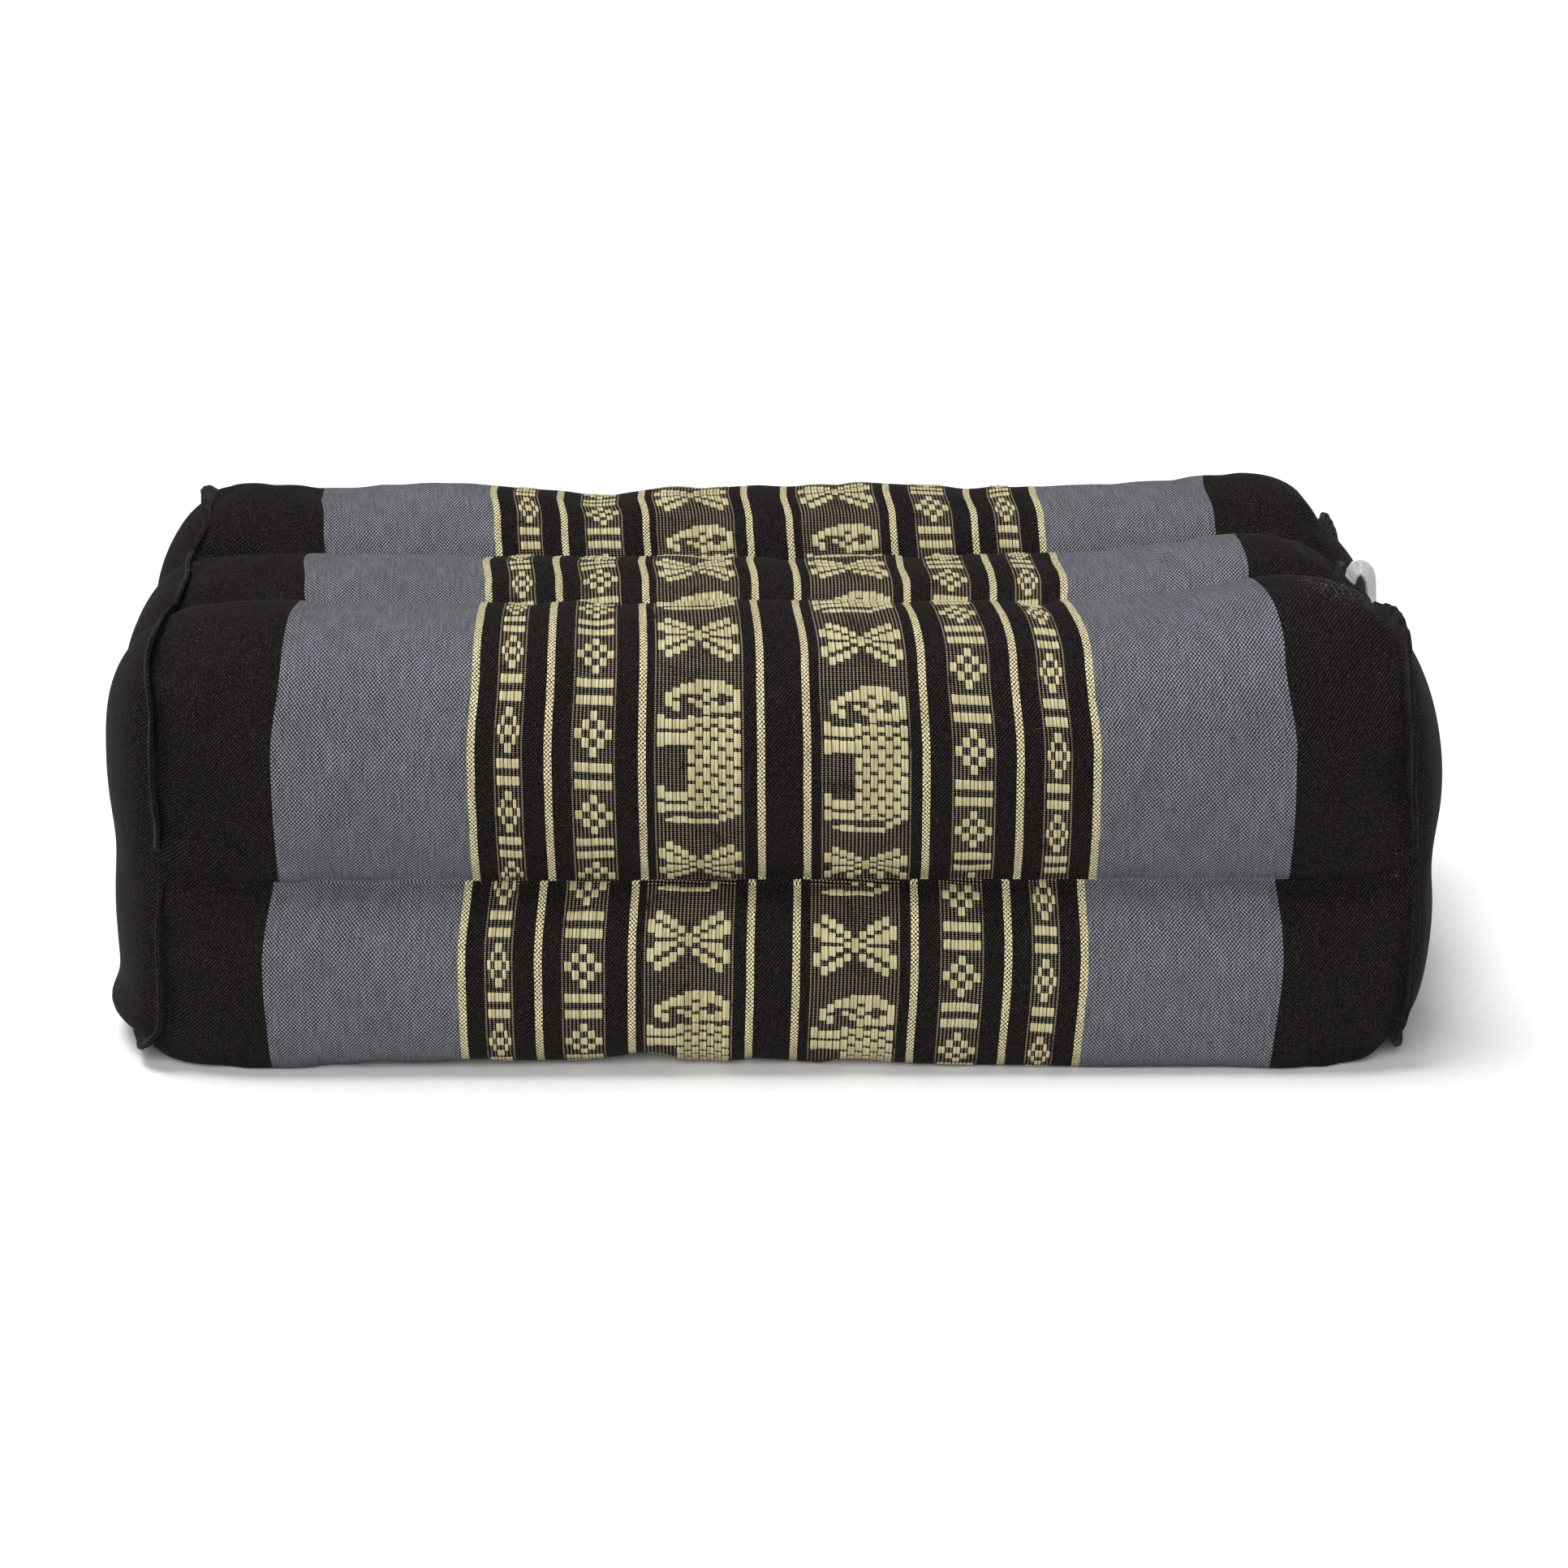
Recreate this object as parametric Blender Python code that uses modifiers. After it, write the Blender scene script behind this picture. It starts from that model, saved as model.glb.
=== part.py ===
"""Yoga block cushion: six stuffed channels sewn side by side, three across and two high.

Units are metres. +X runs along the channels, -Y is the front, +Z is up, and the cushion
rests on the plane Z = 0. The origin lies on that plane, under the middle of the cushion.

The cover is one filled solid. Its cross-section is a ring of six lobes, one for each
channel, which meet at six sewn seams. Towards each end the ring is drawn in to a squarer
rim, and a puffed end panel closes it. A turned-out seam allowance stands up from each rim
in two strips, and a small folded tag is caught in the right end seam.
"""

from collections import namedtuple
from math import atan2, cos, exp, hypot, pi, sin

import bpy
from mathutils import Vector

MM = 0.001

# ---------------------------------------------------------------- driving sizes

CHANNEL_PITCH = 58 * MM           # from one channel's middle to the next
UPPER_LAYER_Z = 86 * MM           # middle of the upper channels
LOWER_LAYER_Z = 28 * MM           # middle of the lower channels
LAYER_SEAM_Z = 57 * MM            # height at which the layers meet on an end panel
RIM_HALF_DEPTH = 84 * MM          # from the middle to the rim's front or back
RIM_BASE_Z = 4.5 * MM             # underside of the rim
RIM_CORNER_Z = 111 * MM           # height of the rim's upper corners
SEAM_FALLOFF = 5                  # how soon a lobe leaves its seam: higher is sooner
CLUSTERING = 0.4                  # how much closer ring points lie at seams and corners
END_TAPER = 42 * MM               # length over which a channel narrows to the rim
TAPER_POWER = 2.3                 # how quickly it fills out behind the rim
END_DOME_POWER = 5.0              # how steeply an end panel rises from its rim
SAGGED_DOME_POWER = 8.0           # the same at its underside, where the filling sags
END_TROUGH = 0.34                 # share of the puff lost between two channels
END_TROUGH_WIDTH = 12 * MM
GROOVE_PULL = 2.5 * MM            # how far a groove's seam draws the rim in
SEAM_PULL_RADIUS = 15 * MM        # how far along the rim a seam draws it in
RIM_GROOVE_DEPTH = 5.5 * MM       # dip of the rim's top between two channels
EAR_RADIUS = 11 * MM              # how far round a corner of the rim an ear spreads

FIN_HEIGHT = 3.4 * MM             # turned-out seam allowance
FIN_THICKNESS = 1.6 * MM
FIN_END_SHARE = 0.45              # share of its height at its two ends
FIN_END_RISE = 14.0               # how soon it reaches its full height from them
FIN_BEND = 0.55                   # share of the height at which the ribbon may bend
FIN_BEND_WAVE = 0.3               # share of the wobble at that height
FIN_WAVE = 0.5 * MM               # sideways wobble of its free edge
FIN_WAVES = 17                    # wobbles along one strip
FIN_SMOOTHING = 3                 # passes that even out the way it stands
CLEARANCE = 0.35 * MM             # gap between separate pieces
PROBE = 3 * MM                    # step at which slopes beside the rim are taken

TAG_WIDTH = 15 * MM
TAG_THICKNESS = 1.0 * MM
TAG_OFFSET_Y = 6 * MM             # its middle, behind the middle of the channel

# One row for each seam, in the order in which the ring passes them, from the front seam
# over the top. Places are given at the middle of the cushion and at the rim. A rim height
# of None is set by the channels beside the seam.
Seam = namedtuple("Seam", "name middle_y middle_z rim_y rim_z")
SEAMS = (
    Seam("front", -76.5 * MM, 50 * MM, -82 * MM, 59 * MM),
    Seam("top_front", -29 * MM, 108 * MM, -29 * MM, None),
    Seam("top_back", 29 * MM, 108 * MM, 29 * MM, None),
    Seam("back", 76.5 * MM, 51 * MM, 82 * MM, 58 * MM),
    Seam("bottom_back", 29 * MM, 11 * MM, 29 * MM, 7 * MM),
    Seam("bottom_front", -29 * MM, 11 * MM, -29 * MM, 7 * MM),
)
LAYER_SEAMS = ("front", "back")

# One row for each channel, in the same order. Columns run from -1, the front, to 1, the
# back; layers are 1, upper, and -1, lower. The crest is the height of the top of an upper
# channel, or of the underside of a lower one before the ground flattens it.
Channel = namedtuple("Channel", "name column layer crest steps")
CHANNELS = (
    Channel("upper_front", -1, 1, 121.5 * MM, 16),
    Channel("upper_middle", 0, 1, 119.0 * MM, 10),
    Channel("upper_back", 1, 1, 125.0 * MM, 16),
    Channel("lower_back", 1, -1, -2.5 * MM, 16),
    Channel("lower_middle", 0, -1, -2.0 * MM, 10),
    Channel("lower_front", -1, -1, -2.5 * MM, 16),
)

# How a channel's outline runs about its middle, for each layer: half widths towards the
# outside and towards its neighbour, reach towards the other layer, and how square the
# outline is on its outer side and on the side of the other layer.
Outline = namedtuple("Outline", "outer_width inner_width inner_height outer_square inner_square")
MIDDLE_OUTLINES = {
    1: Outline(30.5 * MM, 30 * MM, 36 * MM, 2.5, 2.5),
    -1: Outline(31.5 * MM, 30 * MM, 28 * MM, 5.0, 2.8),
}
RIM_OUTLINES = {
    1: Outline(26.5 * MM, 31 * MM, 36 * MM, 3.8, 5.0),
    -1: Outline(26.5 * MM, 34 * MM, 32 * MM, 5.0, 5.0),
}

# The two ends. Rim tops are the heights of the rim over the front, middle and back
# channels; the rim's underside is the same all along. The seam between the layers draws the
# rim in by layer_pull, the corners stand out beyond the rest of the rim by upper_out and
# lower_out, the whole end leans in by lean at its top, and the seam allowance is higher at
# a corner by ear_height.
End = namedtuple("End", "name side half_length puff top_front top_middle top_back "
                        "layer_pull upper_out lower_out lean ear_height")
ENDS = (
    End("left", -1, 168.5 * MM, 17 * MM, 118.5 * MM, 117 * MM, 121 * MM,
        4.5 * MM, -2 * MM, 0.5 * MM, 0 * MM, 0.6 * MM),
    End("right", 1, 166 * MM, 13 * MM, 118 * MM, 114.5 * MM, 110.5 * MM,
        1 * MM, 0.5 * MM, -3 * MM, 3 * MM, 1.8 * MM),
)

# Uneven filling: where along X a channel is fuller or slacker, over what length, and by
# how much in height.
Lump = namedtuple("Lump", "channel x spread extra_height")
LUMPS = (
    Lump("upper_front", 128 * MM, 36 * MM, 9.5 * MM),
    Lump("upper_front", -126 * MM, 30 * MM, 1.0 * MM),
    Lump("upper_middle", 130 * MM, 34 * MM, 7.5 * MM),
    Lump("upper_middle", -128 * MM, 32 * MM, 0.8 * MM),
    Lump("upper_back", 132 * MM, 40 * MM, 2.5 * MM),
    Lump("upper_back", -96 * MM, 24 * MM, 1.4 * MM),
    Lump("upper_back", -52 * MM, 22 * MM, -1.6 * MM),
    Lump("upper_back", 24 * MM, 26 * MM, 1.2 * MM),
)

# Distances in from the rim at which the cover has a ring, up to the middle.
COVER_STEPS = [d * MM for d in (0, 2.5, 6, 11, 18, 26, 36, 50, 68, 90, 115, 141)]

# The tag's path down the right end panel: distance below the rim, stand-off from the panel.
TagPoint = namedtuple("TagPoint", "below stand_off")
TAG_PATH = tuple(TagPoint(below * MM, stand_off * MM) for below, stand_off in (
    (2.9, 0.95), (3.3, 2.2), (4.6, 2.9), (6.8, 2.7), (9.5, 2.1), (12.5, 1.6), (16.0, 1.3)))

COLOURS = {
    "cover": (0.125, 0.145, 0.185, 1.0),
    "seam": (0.012, 0.010, 0.011, 1.0),
    "tag": (0.86, 0.87, 0.90, 1.0),
}


# ---------------------------------------------------------------- the ring of lobes

def end_of(side):
    """The row of the end on this side: -1 left, 1 right."""
    return ENDS[0] if side < 0 else ENDS[1]


def superellipse_radius(angle, half_width, half_height, squareness):
    across = abs(cos(angle) / half_width) ** squareness
    up = abs(sin(angle) / half_height) ** squareness
    return (across + up) ** (-1 / squareness)


def lobe_point(channel, share, outline, crest, start, finish):
    """A point of one lobe, share of the way from the seam at start to the one at finish.

    The lobe is an arc of a superellipse about the channel's middle, with a short
    correction at each end that lands it on the seam.
    """
    middle_y = channel.column * CHANNEL_PITCH
    middle_z = UPPER_LAYER_Z if channel.layer > 0 else LOWER_LAYER_Z
    outer_height = abs(crest - middle_z)
    first = atan2(start[1] - middle_z, start[0] - middle_y)
    last = atan2(finish[1] - middle_z, finish[0] - middle_y)
    while last > first:
        last -= 2 * pi

    def radius(angle):
        outward = channel.column * cos(angle) > 0
        half_width = outline.outer_width if outward else outline.inner_width
        outer = channel.layer * sin(angle) > 0
        half_height = outer_height if outer else outline.inner_height
        squareness = outline.outer_square if outer else outline.inner_square
        return superellipse_radius(angle, half_width, half_height, squareness)

    angle = first + (last - first) * share
    start_gap = hypot(start[0] - middle_y, start[1] - middle_z) - radius(first)
    finish_gap = hypot(finish[0] - middle_y, finish[1] - middle_z) - radius(last)
    reach = (radius(angle) + start_gap * (1 - share) ** SEAM_FALLOFF
             + finish_gap * share ** SEAM_FALLOFF)
    return middle_y + reach * cos(angle), middle_z + reach * sin(angle)


def spaced_share(step, channel):
    """Spacing along a lobe: closer at its seams, and at its corner if it has one."""
    even = step / channel.steps
    waves = 2 if channel.column else 1
    return even - CLUSTERING / (2 * pi * waves) * sin(2 * pi * waves * even)


def ring_places():
    """Each ring point as (channel, start seam, finish seam, share along the lobe)."""
    places = []
    for index, channel in enumerate(CHANNELS):
        start = SEAMS[index]
        finish = SEAMS[(index + 1) % len(SEAMS)]
        for step in range(channel.steps):
            places.append((channel, start, finish, spaced_share(step, channel)))
    return places


def rim_top(side, y):
    """Height of the rim's top at y, straight between the middles of the channels."""
    end = end_of(side)
    beside = end.top_front if y < 0 else end.top_back
    share = min(1.0, abs(y) / CHANNEL_PITCH)
    return end.top_middle + (beside - end.top_middle) * share


def rim_seam_z(seam, side):
    """Rim height of a seam: the top grooves lie a little below the rim beside them."""
    if seam.rim_z is None:
        return rim_top(side, seam.rim_y) - RIM_GROOVE_DEPTH
    return seam.rim_z


def end_reach(side, y, z):
    """How far the end reaches along X at y and z: the rim, and the puffed panel inside it."""
    end = end_of(side)
    reach = end.half_length - end.lean * (z / RIM_CORNER_Z) ** 2
    for seam in SEAMS:
        gap = hypot(y - seam.rim_y, z - rim_seam_z(seam, side))
        pull = end.layer_pull if seam.name in LAYER_SEAMS else GROOVE_PULL
        reach -= pull * exp(-(gap / SEAM_PULL_RADIUS) ** 2)
    for corner_z, out in ((RIM_BASE_Z, end.lower_out), (RIM_CORNER_Z, end.upper_out)):
        gap = hypot(abs(y) - RIM_HALF_DEPTH, z - corner_z)
        reach += out * exp(-(gap / EAR_RADIUS) ** 2)
    middle_z = (RIM_BASE_Z + rim_top(side, y)) / 2
    across = min(1.0, abs(y) / RIM_HALF_DEPTH)
    up = min(1.0, abs(z - middle_z) / (middle_z - RIM_BASE_Z))
    up_power = END_DOME_POWER if z > middle_z else SAGGED_DOME_POWER
    dome = (1 - across ** END_DOME_POWER) * (1 - up ** up_power)
    between = max(exp(-((abs(y) - CHANNEL_PITCH / 2) / END_TROUGH_WIDTH) ** 2),
                  exp(-((z - LAYER_SEAM_Z) / END_TROUGH_WIDTH) ** 2))
    return reach + end.puff * dome * (1 - END_TROUGH * between)


def end_point(side, y, z):
    return Vector((side * end_reach(side, y, z), y, z))


def rim_point(place, side):
    """A point of the rim, where the cover meets an end panel."""
    channel, start, finish, share = place
    crest = rim_top(side, channel.column * CHANNEL_PITCH) if channel.layer > 0 else RIM_BASE_Z
    y, z = lobe_point(channel, share, RIM_OUTLINES[channel.layer], crest,
                      (start.rim_y, rim_seam_z(start, side)),
                      (finish.rim_y, rim_seam_z(finish, side)))
    return end_point(side, y, z)


def filling(channel, x):
    """Extra height of a channel at x from its uneven filling."""
    return sum(lump.extra_height * exp(-((x - lump.x) / lump.spread) ** 2)
               for lump in LUMPS if lump.channel == channel.name)


def cover_point(place, side, distance):
    """A point of the cover, at this distance in from the rim of the end on this side."""
    channel, start, finish, share = place
    rim = rim_point(place, side)
    x = rim.x - side * distance * abs(rim.x) / end_of(side).half_length
    y, z = lobe_point(channel, share, MIDDLE_OUTLINES[channel.layer],
                      channel.crest + filling(channel, x),
                      (start.middle_y, start.middle_z), (finish.middle_y, finish.middle_z))
    run = min(1.0, distance / END_TAPER)
    full = 1 - (1 - run) ** TAPER_POWER
    return Vector((x, rim.y + (y - rim.y) * full, max(0.0, rim.z + (z - rim.z) * full)))


def end_panel_grid(rim, side):
    """Points of an end panel, in rows from its underside up and columns from front to back.

    The ring of rim points is the grid's border. Inside it, points are spread between
    opposite borders and then puffed out.
    """
    rows = CHANNELS[0].steps
    columns = CHANNELS[0].steps + CHANNELS[1].steps
    first_corner = CHANNELS[0].steps // 2
    count = len(rim)
    top = [rim[first_corner + c] for c in range(columns + 1)]
    back = [rim[first_corner + columns + rows - r] for r in range(rows + 1)]
    bottom = [rim[first_corner + 2 * columns + rows - c] for c in range(columns + 1)]
    front = [rim[(first_corner - rows + r) % count] for r in range(rows + 1)]
    grid = []
    for r in range(rows + 1):
        up = (front[r].z - front[0].z) / (front[-1].z - front[0].z)
        line = []
        for c in range(columns + 1):
            across = (top[c].y - top[0].y) / (top[-1].y - top[0].y)
            spread = (bottom[c].lerp(top[c], up) + front[r].lerp(back[r], across)
                      - bottom[0].lerp(top[0], up).lerp(bottom[-1].lerp(top[-1], up), across))
            line.append(end_point(side, spread.y, spread.z))
        grid.append(line)
    return grid


# ---------------------------------------------------------------- objects

def material(name, colour, roughness):
    mat = bpy.data.materials.new(name)
    mat.use_nodes = True
    shader = mat.node_tree.nodes["Principled BSDF"]
    shader.inputs["Base Color"].default_value = colour
    shader.inputs["Roughness"].default_value = roughness
    shader.inputs["Metallic"].default_value = 0.0
    mat.diffuse_color = colour
    return mat


def add_object(name, points, faces, mat, collection):
    mesh = bpy.data.meshes.new(name)
    mesh.from_pydata([tuple(point) for point in points], [], faces)
    mesh.validate()
    mesh.shade_smooth()
    mesh.materials.append(mat)
    obj = bpy.data.objects.new(name, mesh)
    collection.objects.link(obj)
    return obj


def solidify(obj, thickness):
    modifier = obj.modifiers.new("cloth thickness", "SOLIDIFY")
    modifier.thickness = thickness
    modifier.offset = 0.0
    modifier.use_even_offset = True


def strip_faces(rows, columns):
    """Quads between neighbouring rows of points."""
    return [(r * columns + c, (r + 1) * columns + c,
             (r + 1) * columns + c + 1, r * columns + c + 1)
            for r in range(rows - 1) for c in range(columns - 1)]


def cushion_rings(places):
    """The cover's rings from the left rim to the right one."""
    middle = end_of(-1).half_length
    left = [[cover_point(place, -1, d) for place in places] for d in COVER_STEPS]
    right = [[cover_point(place, 1, d) for place in places] for d in COVER_STEPS]
    centre = [(cover_point(place, -1, middle) + cover_point(place, 1, middle)) / 2
              for place in places]
    return left + [centre] + right[::-1]


def end_panel_faces(rows, columns, first_corner, count, inner_start, rim_start):
    """Quads of an end panel whose border is the ring of rim points."""
    def number(r, c):
        if r == rows:
            return rim_start + first_corner + c
        if c == columns:
            return rim_start + first_corner + columns + rows - r
        if r == 0:
            return rim_start + first_corner + 2 * columns + rows - c
        if c == 0:
            return rim_start + (first_corner - rows + r) % count
        return inner_start + (r - 1) * (columns - 1) + c - 1

    return [(number(r, c), number(r, c + 1), number(r + 1, c + 1), number(r + 1, c))
            for r in range(rows) for c in range(columns)]


def build_body(places, collection):
    rings = cushion_rings(places)
    count = len(places)
    points = [point for ring in rings for point in ring]
    faces = []
    for ring in range(len(rings) - 1):
        for i in range(count):
            j = (i + 1) % count
            a, b = ring * count, (ring + 1) * count
            faces.append((a + i, b + i, b + j, a + j))
    rows = CHANNELS[0].steps
    columns = CHANNELS[0].steps + CHANNELS[1].steps
    for side, ring in ((-1, 0), (1, len(rings) - 1)):
        inner_start = len(points)
        grid = end_panel_grid(rings[ring], side)
        points.extend(point for line in grid[1:-1] for point in line[1:-1])
        panel = end_panel_faces(rows, columns, rows // 2, count, inner_start, ring * count)
        faces.extend(panel if side > 0 else [face[::-1] for face in panel])
    cover = material("cushion cover", COLOURS["cover"], 0.86)
    return add_object("cushion_body", points, faces, cover, collection)


def fin_direction(place, before, after, side):
    """Which way the seam allowance stands: between the normals of cover and end panel."""
    rim = rim_point(place, side)
    along = (rim_point(after, side) - rim_point(before, side)).normalized()
    inward = Vector((0, along.z, -along.y)).normalized() * PROBE
    to_cover = cover_point(place, side, PROBE) - rim
    to_panel = end_point(side, rim.y + inward.y, rim.z + inward.z) - rim
    cover_normal = along.cross(to_cover).normalized() * side
    panel_normal = to_panel.cross(along).normalized() * side
    return (cover_normal + panel_normal).normalized(), along


def fin_sections(places, first, last, side):
    """Root, direction and path direction of a seam allowance along ring points."""
    count = len(places)
    sections = []
    for index in range(first, last + 1):
        direction, along = fin_direction(places[index % count], places[(index - 1) % count],
                                         places[(index + 1) % count], side)
        sections.append([rim_point(places[index % count], side), direction, along])
    for _ in range(FIN_SMOOTHING):
        smooth = [sections[0][1]]
        for before, here, after in zip(sections, sections[1:], sections[2:]):
            smooth.append((before[1] + here[1] * 2 + after[1]).normalized())
        smooth.append(sections[-1][1])
        for section, direction in zip(sections, smooth):
            section[1] = direction
    return sections


def build_fin(name, places, first, last, side, mat, collection):
    """A seam allowance: a wavy ribbon that stands up from the rim between two seams."""
    sections = fin_sections(places, first, last, side)
    points = []
    for number, (rim, direction, along) in enumerate(sections):
        share = number / (len(sections) - 1)
        near_end = min(share, 1 - share)
        height = FIN_HEIGHT * min(1.0, FIN_END_SHARE + near_end * FIN_END_RISE)
        corner_gap = min(hypot(abs(rim.y) - RIM_HALF_DEPTH, rim.z - corner_z)
                         for corner_z in (RIM_BASE_Z, RIM_CORNER_Z))
        height += end_of(side).ear_height * exp(-(corner_gap / EAR_RADIUS) ** 2)
        sideways = direction.cross(along).normalized()
        wave = FIN_WAVE * sin(2 * pi * FIN_WAVES * share)
        root = rim + direction * CLEARANCE
        points.append(root)
        points.append(root + direction * height * FIN_BEND + sideways * wave * FIN_BEND_WAVE)
        points.append(root + direction * height + sideways * wave)
    fin = add_object(name, points, strip_faces(len(sections), 3), mat, collection)
    solidify(fin, FIN_THICKNESS)
    return fin


def build_tag(places, collection):
    """The folded tag that hangs from the right end seam at the middle channel."""
    middle_index = CHANNELS[0].steps + CHANNELS[1].steps // 2
    place = places[middle_index]
    rim = rim_point(place, 1)
    rows = []
    for tag_point in TAG_PATH:
        here = end_point(1, 0, rim.z - tag_point.below)
        ahead = end_point(1, 0, rim.z - tag_point.below - PROBE)
        fall = (ahead - here).normalized()
        outward = Vector((-fall.z, 0, fall.x))
        rows.append(here + outward * tag_point.stand_off)
    points = []
    for row in rows:
        for edge in (-1, 1):
            points.append((row.x, TAG_OFFSET_Y + edge * TAG_WIDTH / 2, row.z))
    tag = add_object("care_tag", points, strip_faces(len(rows), 2),
                     material("tag cloth", COLOURS["tag"], 0.7), collection)
    solidify(tag, TAG_THICKNESS)
    return tag


def centre_over_origin(objects, collection):
    """Stand the pieces on an empty that puts the middle of their outline at the origin."""
    body = objects[0]
    x_values = [vertex.co.x for vertex in body.data.vertices]
    y_values = [vertex.co.y for vertex in body.data.vertices]
    stand = bpy.data.objects.new("cushion_stand", None)
    stand.location = (-(min(x_values) + max(x_values)) / 2,
                      -(min(y_values) + max(y_values)) / 2, 0)
    collection.objects.link(stand)
    for obj in objects:
        obj.parent = stand


def main():
    for obj in list(bpy.data.objects):
        bpy.data.objects.remove(obj, do_unlink=True)
    collection = bpy.data.collections.new("yoga_cushion")
    bpy.context.scene.collection.children.link(collection)

    places = ring_places()
    half = len(places) // 2
    objects = [build_body(places, collection)]
    seam_cloth = material("seam allowance cloth", COLOURS["seam"], 0.9)
    for end in ENDS:
        for layer, first in (("upper", 1), ("lower", half + 1)):
            name = f"end_seam_{end.name}_{layer}"
            own = seam_cloth.copy()
            own.name = f"{end.name} {layer} seam allowance"
            objects.append(build_fin(name, places, first, first + half - 2, end.side,
                                     own, collection))
    objects.append(build_tag(places, collection))
    centre_over_origin(objects, collection)


main()
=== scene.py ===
"""Looks of the yoga block cushion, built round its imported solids.

Units are metres, in the part's own frame: +X along the channels, -Y the front, +Z up, and
the cushion rests on Z = 0. The cover repeats the source's ring of six lobes in finer steps.
A woven cloth is laid on it through a UV map that counts in real metres: U across the cloth's
stripes, V along them. The raised motifs are floats, real yarns that follow the same map.
"""

from collections import namedtuple
from math import atan2, cos, hypot, pi, radians, sin

import bpy
import numpy as np
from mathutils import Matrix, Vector, noise


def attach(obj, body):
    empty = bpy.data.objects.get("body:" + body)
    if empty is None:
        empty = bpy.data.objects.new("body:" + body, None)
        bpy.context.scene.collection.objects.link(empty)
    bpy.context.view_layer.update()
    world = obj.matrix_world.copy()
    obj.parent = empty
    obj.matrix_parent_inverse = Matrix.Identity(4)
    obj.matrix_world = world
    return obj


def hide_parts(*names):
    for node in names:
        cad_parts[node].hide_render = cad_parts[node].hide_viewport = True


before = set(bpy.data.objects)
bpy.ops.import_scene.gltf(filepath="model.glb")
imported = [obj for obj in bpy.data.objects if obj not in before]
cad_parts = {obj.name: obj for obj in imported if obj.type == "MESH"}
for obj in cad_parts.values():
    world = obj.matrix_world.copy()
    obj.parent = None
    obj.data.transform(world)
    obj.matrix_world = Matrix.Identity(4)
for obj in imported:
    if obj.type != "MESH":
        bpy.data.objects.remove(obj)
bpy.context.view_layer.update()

MM = 0.001
CM = 0.01


def mm(*sizes):
    """Sizes that are given in millimetres."""
    return [size * MM for size in sizes]


# ---- sizes shared with the solids

CENTRING = 3.34 * MM              # how far the source moves its solids to centre them
CHANNEL_PITCH = 58 * MM
UPPER_LAYER_Z = 86 * MM
LOWER_LAYER_Z = 28 * MM
LAYER_SEAM_Z = 57 * MM
RIM_HALF_DEPTH = 84 * MM
RIM_BASE_Z = 4.5 * MM
RIM_CORNER_Z = 111 * MM
SEAM_FALLOFF = 8                  # how soon a lobe leaves its seams for its own outline
CLUSTERING = 0.4                  # how much closer its points lie where it bends most
END_TAPER = 42 * MM
END_DOME_POWER = 5.0
COLUMN_TROUGH = 0.34              # share of the panel's puff lost between two columns
END_TROUGH_WIDTH = 12 * MM
TAG_DENT = 6.5 * MM               # the panel gives way under the tag
TAG_DENT_PLACE = (3 * MM, 105 * MM)
TAG_DENT_SPREAD = 15 * MM
GROOVE_PULL = 2.5 * MM
SEAM_PULL_RADIUS = 15 * MM
RIM_GROOVE_DEPTH = 5.5 * MM
EAR_RADIUS = 11 * MM              # reach of the rim's corners that stand out or in
PROBE = 3 * MM                    # how far into the panel its slope at the rim is read

Seam = namedtuple("Seam", "name middle_y middle_z rim_y rim_z")
SEAMS = (
    Seam("front", *mm(-79, 53, -82, 59)),
    Seam("top_front", *mm(-29, 108, -29), None),
    Seam("top_back", *mm(29, 108, 29), None),
    Seam("back", *mm(76.5, 51, 82, 58)),
    Seam("bottom_back", *mm(29, 11, 29, 7)),
    Seam("bottom_front", *mm(-29, 11, -29, 7)),
)
LAYER_SEAMS = ("front", "back")

# Steps are points along each lobe, four and a half times the source's own.
Channel = namedtuple("Channel", "name column layer crest steps")
CHANNELS = (
    Channel("upper_front", -1, 1, 121.5 * MM, 72),
    Channel("upper_middle", 0, 1, 119.0 * MM, 45),
    Channel("upper_back", 1, 1, 125.0 * MM, 72),
    Channel("lower_back", 1, -1, -2.5 * MM, 72),
    Channel("lower_middle", 0, -1, -2.0 * MM, 45),
    Channel("lower_front", -1, -1, -2.5 * MM, 72),
)

Outline = namedtuple("Outline", "outer_width inner_width inner_height outer_square inner_square")
# By layer: 1 is the upper one.
MIDDLE_OUTLINES = {1: Outline(*mm(30.5, 30, 36), 2.5, 2.5),
                   -1: Outline(*mm(31.5, 30, 28), 5.0, 2.8)}
RIM_OUTLINES = {1: Outline(*mm(26.5, 31, 36), 3.8, 5.0),
                -1: Outline(*mm(26.5, 34, 32), 5.0, 5.0)}

# Beside the source's sizes: how far the rim leans in at the back, how far the panel puffs out
# low down, how much it sags over its foot, how squarely it puffs out below and above its middle,
# how deep the trough between its layers is, and how soon the channels fill out behind the rim.
End = namedtuple("End", "name side half_length puff top_front top_middle top_back layer_pull "
                        "upper_out lower_out lean back_lean lower_puff sag sag_power top_power "
                        "layer_trough fullness")
ENDS = (
    End("left", -1, *mm(168.5, 18.0, 118.5, 117.5, 124.8, 0.5, -0.8, 2.0, 0, 0, 17.5, 13),
        8, 5, 0.08, 2.5),
    End("right", 1, *mm(168.5, 14.0, 119, 114.5, 114.0, -1, -0.5, -5.5, 5, 7, 10.9, 0),
        4, 3.2, 0.17, 3.3),
)
SAG_Z = 6 * MM
SAG_SPREAD = 9 * MM

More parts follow.
